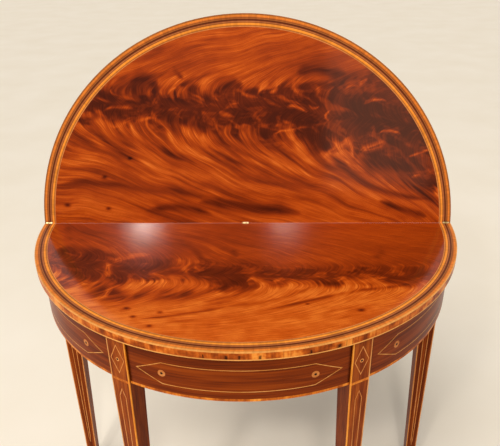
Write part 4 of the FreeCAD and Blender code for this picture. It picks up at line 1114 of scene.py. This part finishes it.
# %% Finish: boxwood and ebony
BOX_TONES = [(0.0, "#B4702E"), (0.5, "#D08C44"), (1.0, "#E4A662")]
ROUNDEL_TONES = [(0.0, "#A45A26"), (0.5, "#BE7236"), (1.0, "#D28A50")]
FINE_TONES = [(0.0, "#BC6C2C"), (0.5, "#D48642"), (1.0, "#E8A464")]
OUTER_TONES = [(0.0, "#C0763A"), (0.5, "#DA9450"), (1.0, "#ECB074")]
INNER_TONES = [(0.0, "#D87A22"), (0.5, "#EE942E"), (1.0, "#FAB050")]
EBONY_TONES = [(0.0, "#120B08"), (0.6, "#1E1410"), (1.0, "#33221A")]
STRING_FIBRE = (0.05, 0.004, 0.001)
EBONY_FIBRE = (0.02, 0.002, 0.0)
APRON_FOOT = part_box("front_apron_rail")[0][2]
FOOT_HALF = 11.5 * MM
ARRIS = 3 * MM
ARRIS_EDGE = 0.3 * MM


def front_string_colour(tree, tone):
    """Boxwood of a front leg. The leg's half width grows with height up to the die, and what lies within an
    arris of it is a corner string: bright on the inner side, paler on the outer."""
    across = use(tree, on_front_leg)["Across"]
    high = axes(tree, object_place(tree))[2]
    half = fade(tree, high, 0.0, APRON_FOOT, FOOT_HALF, DIE_HALF, kind="LINEAR")
    inside = sums(tree, "SUBTRACT", half, sums(tree, "ABSOLUTE", across))
    corner = fade(tree, inside, ARRIS, ARRIS + ARRIS_EDGE, 1.0, 0.0)
    outer = fade(tree, across, -ARRIS_EDGE, ARRIS_EDGE)
    rubbed = blend(tree, outer, ramp(tree, tone, INNER_TONES), ramp(tree, tone, OUTER_TONES))
    return blend(tree, corner, ramp(tree, tone, FINE_TONES), rubbed)


dress_woods([
    ("apron_boxwood", round_curve, STRING_FIBRE, BOX_TONES, "apron_panel_strings"),
    ("roundel_boxwood", round_curve, STRING_FIBRE, ROUNDEL_TONES, "apron_roundels"),
    ("front_leg_boxwood", up_leg, STRING_FIBRE, front_string_colour,
     "left_front_leg_stringing", "right_front_leg_stringing"),
    ("back_leg_boxwood", up_leg, STRING_FIBRE, FINE_TONES,
     "left_back_leg_stringing", "right_back_leg_stringing"),
], pores=(0.2, "#6A3A16"), **POLISHED)
dress_woods([
    ("ebony_dots", up_leg, EBONY_FIBRE, EBONY_TONES,
     "apron_roundel_dots", "left_front_leg_dot", "right_front_leg_dot"),
], pores=(0.2, "#080504"), **POLISHED)

# %% [markdown]
# Hidden woods. The rails behind the veneer, the brace and the blocks are plain pine, left bare and browned
# with age. The hinge rail and the fly rails are beech, which is tough enough for wooden knuckles.

# %% Finish: pine and beech
PINE_TONES = [(0.0, "#8A6236"), (0.5, "#B08850"), (1.0, "#C9A66C")]
BEECH_TONES = [(0.0, "#946A42"), (0.5, "#AE8455"), (1.0, "#C39A68")]
PINE_FIBRE = (0.35, 0.020, 0.010)
BEECH_FIBRE = (0.12, 0.008, 0.004)
dress_woods([
    ("rail_pine", round_curve, PINE_FIBRE, PINE_TONES,
     "front_apron_rail", "left_apron_rail", "right_apron_rail"),
    ("back_pine", along_board, PINE_FIBRE, PINE_TONES, "back_rail", "glue_blocks"),
    ("brace_pine", front_to_back, PINE_FIBRE, PINE_TONES, "medial_brace"),
], pores=(0.15, "#6A4420"), rub={"Gloss": 0.75, "Smear": 0.2})
dress_woods([
    ("gate_beech", along_board, BEECH_FIBRE, BEECH_TONES, "hinge_rail", "left_fly_rail", "right_fly_rail"),
], pores=(0.5, "#7A5030"), rub={"Gloss": 0.6, "Smear": 0.2})

# %% [markdown]
# Brass and iron. The hinges are cast brass, rubbed bright on the knuckles and brown in the corners. The
# gates' pins and the screws under the top are iron with a skin of dark rust. One function makes both: clean
# metal and dull patches differ in colour and in roughness, and fine scratches run through them.

# %% Finish: metals
SCRATCH_LENGTH = 10 * MM
SCRATCH_WIDTH = 0.6 * MM
SCRATCH_RELIEF = 0.01 * MM


def metal_finish(name, bright, dull, spot_size, bright_rough, dull_rough):
    """Bare metal that has dulled in patches: noise mixes the two colours and the two roughnesses."""
    finish, tree, shader = new_finish(name, Metallic=1.0)
    place = object_place(tree)
    patch = fade(tree, noise(tree, place, spot_size, 4.0, 0.65), 0.40, 0.66)
    scratch = noise(tree, stretch(tree, place, SCRATCH_LENGTH, SCRATCH_WIDTH), 1.0)
    colour = ramp(tree, patch, [(0.0, bright), (1.0, dull)])
    rough = sums(tree, "MULTIPLY_ADD", patch, dull_rough - bright_rough, bright_rough)
    rough = sums(tree, "MULTIPLY_ADD", scratch, 0.12, rough)
    normal = relief(tree, scratch, SCRATCH_RELIEF)
    connect(tree, shader.inputs, Base_Color=colour, Roughness=rough, Normal=normal)
    return finish


brass = metal_finish("hinge_brass", "#F4DCA6", "#AC8A50",
                     spot_size=6 * MM, bright_rough=0.22, dull_rough=0.42)
halves = [side + "_hinge_" + half + "_half"
          for side in ("left", "centre", "right") for half in ("lower", "upper")]
dress(brass, "hinge_pins", "lower_hinge_screws", "upper_hinge_screws", *halves)
iron = metal_finish("rusted_iron", "#6A625C", "#4A2E1E",
                    spot_size=4 * MM, bright_rough=0.42, dull_rough=0.75)
dress(iron, "top_screws", "left_gate_pin", "right_gate_pin")

# %% [markdown]
# The floor is a plain pale sheet that reaches past the edges of the view, so that the table stands on
# something and throws a shadow. One square face is enough for it, and a faint mottle keeps it from looking
# blank.

# %% Floor
FLOOR_REACH = 40.0
FLOOR_MOTTLE = 0.4
floor_mesh = bpy.data.meshes.new("floor")
corners = [(x * FLOOR_REACH, y * FLOOR_REACH, 0) for x, y in ((-1, -1), (1, -1), (1, 1), (-1, 1))]
floor_mesh.from_pydata(corners, [], [(0, 1, 2, 3)])
floor = bpy.data.objects.new("floor", floor_mesh)
bpy.context.scene.collection.objects.link(floor)
floor_finish, tree, shader = new_finish("pale_floor", Roughness=0.9, Specular_IOR_Level=0.1)
mottle = noise(tree, object_place(tree), FLOOR_MOTTLE, 3.0)
connect(tree, shader.inputs, Base_Color=ramp(tree, mottle, [(0.3, "#F7EEDE"), (0.7, "#FBF3E5")]))
floor_mesh.materials.append(floor_finish)
print("floor reaches", FLOOR_REACH, "m each way")

# %% [markdown]
# Lamps. A soft sun lights everything evenly, and two lamps in front light the wood. Polish mirrors lamps,
# and a mirrored lamp is far brighter than the wood round it, so the lamps' light and their mirror image are
# set apart: the two lamps are hidden from reflections, and a gleam in the same place shows only in the
# polish of the leaves. A window at the right does the same for the raised leaf, whose dark wood it covers
# with a soft sheen. Together with the surround the lamps are about as strong as daylight, at which a colour
# renders as it is written.

# %% Lamps
WARM = (1.0, 0.95, 0.88)
TABLE = (0.0, 0.0, 0.75)
LAMP_DEPTH = -2.00
LAMP_HEIGHT = 2.69
WINDOW_PLACE = (0.65, -1.75, 0.945)
WINDOW_TARGET = (0.286, 0.218, 0.995)
WINDOW_TINT = (1.0, 0.96, 0.66)
WINDOW_POWER = 6
SUN_PLACE = (-1.2, -1.6, 4.0)
SUN_POWER = 1.75
SUN_SPREAD = math.radians(40)


def lamp(name, kind, place, target, power, colour, **settings):
    """A lamp that faces a point."""
    data = bpy.data.lights.new(name, kind)
    data.energy = power
    data.color = colour
    for setting, value in settings.items():
        setattr(data, setting, value)
    made = bpy.data.objects.new(name, data)
    bpy.context.scene.collection.objects.link(made)
    made.location = place
    made.rotation_mode = "QUATERNION"
    made.rotation_quaternion = (Vector(target) - Vector(place)).to_track_quat("-Z", "Y")
    return made


def only_in_polish(made, name, *sheets):
    """Let a lamp show only as a mirror image in some sheets, which alone receive it."""
    receivers = bpy.data.collections.new(name)
    for sheet in sheets:
        receivers.objects.link(sheet)
    made.visible_diffuse = False
    made.light_linking.receiver_collection = receivers


for side, across, power, gleam_power in (("left", -0.86, 16, 290), ("right", 0.18, 13, 100)):
    place = (across, LAMP_DEPTH, LAMP_HEIGHT)
    lamp(side + "_lamp", "AREA", place, TABLE, power, WARM, size=0.22).visible_glossy = False
    gleam = lamp(side + "_gleam", "AREA", place, TABLE, gleam_power, WARM, size=0.18)
    only_in_polish(gleam, side + "_gleam_leaves", lower_flame, upper_flame)
window = lamp("window_gleam", "AREA", WINDOW_PLACE, WINDOW_TARGET, WINDOW_POWER, WINDOW_TINT,
              shape="RECTANGLE", size=0.55, size_y=0.85)
window.visible_camera = False
only_in_polish(window, "window_gleam_leaf", upper_flame)
lamp("soft_sun", "SUN", SUN_PLACE, TABLE, SUN_POWER, WARM, angle=SUN_SPREAD)
print("lamps:", [light.name for light in bpy.data.lights])

# %% [markdown]
# The surround. The world fills the shadows with weak light. The camera, polish and metal see it brighter
# than it lights, so that the surroundings are pale, and Light Path tells the two kinds of ray apart.

# %% Surround
SKY_STRENGTH = 0.40
SEEN_STRENGTH = 0.85
SKY_TINT = (1.0, 0.96, 0.90, 1.0)
world = bpy.data.worlds.new("pale_surround")
world.use_nodes = True
tree = world.node_tree
rays = add(tree, "LightPath").outputs
seen = sums(tree, "ADD", rays["Is Glossy Ray"], rays["Is Transmission Ray"])
seen = sums(tree, "MAXIMUM", rays["Is Camera Ray"], seen)
strength = sums(tree, "MULTIPLY_ADD", seen, SEEN_STRENGTH - SKY_STRENGTH, SKY_STRENGTH)
surround = tree.nodes["Background"].inputs
surround["Color"].default_value = SKY_TINT
connect(tree, surround, Strength=strength)
bpy.context.scene.world = world
bpy.context.scene.view_settings.view_transform = "Standard"
print("surround lights at", SKY_STRENGTH, "and is seen at", SEEN_STRENGTH)

# %% [markdown]
# Last, the solids that were left without a finish are listed.

# %% Undressed solids
print("solids without a finish:", sorted(set(frame["nodes"]) - dressed))
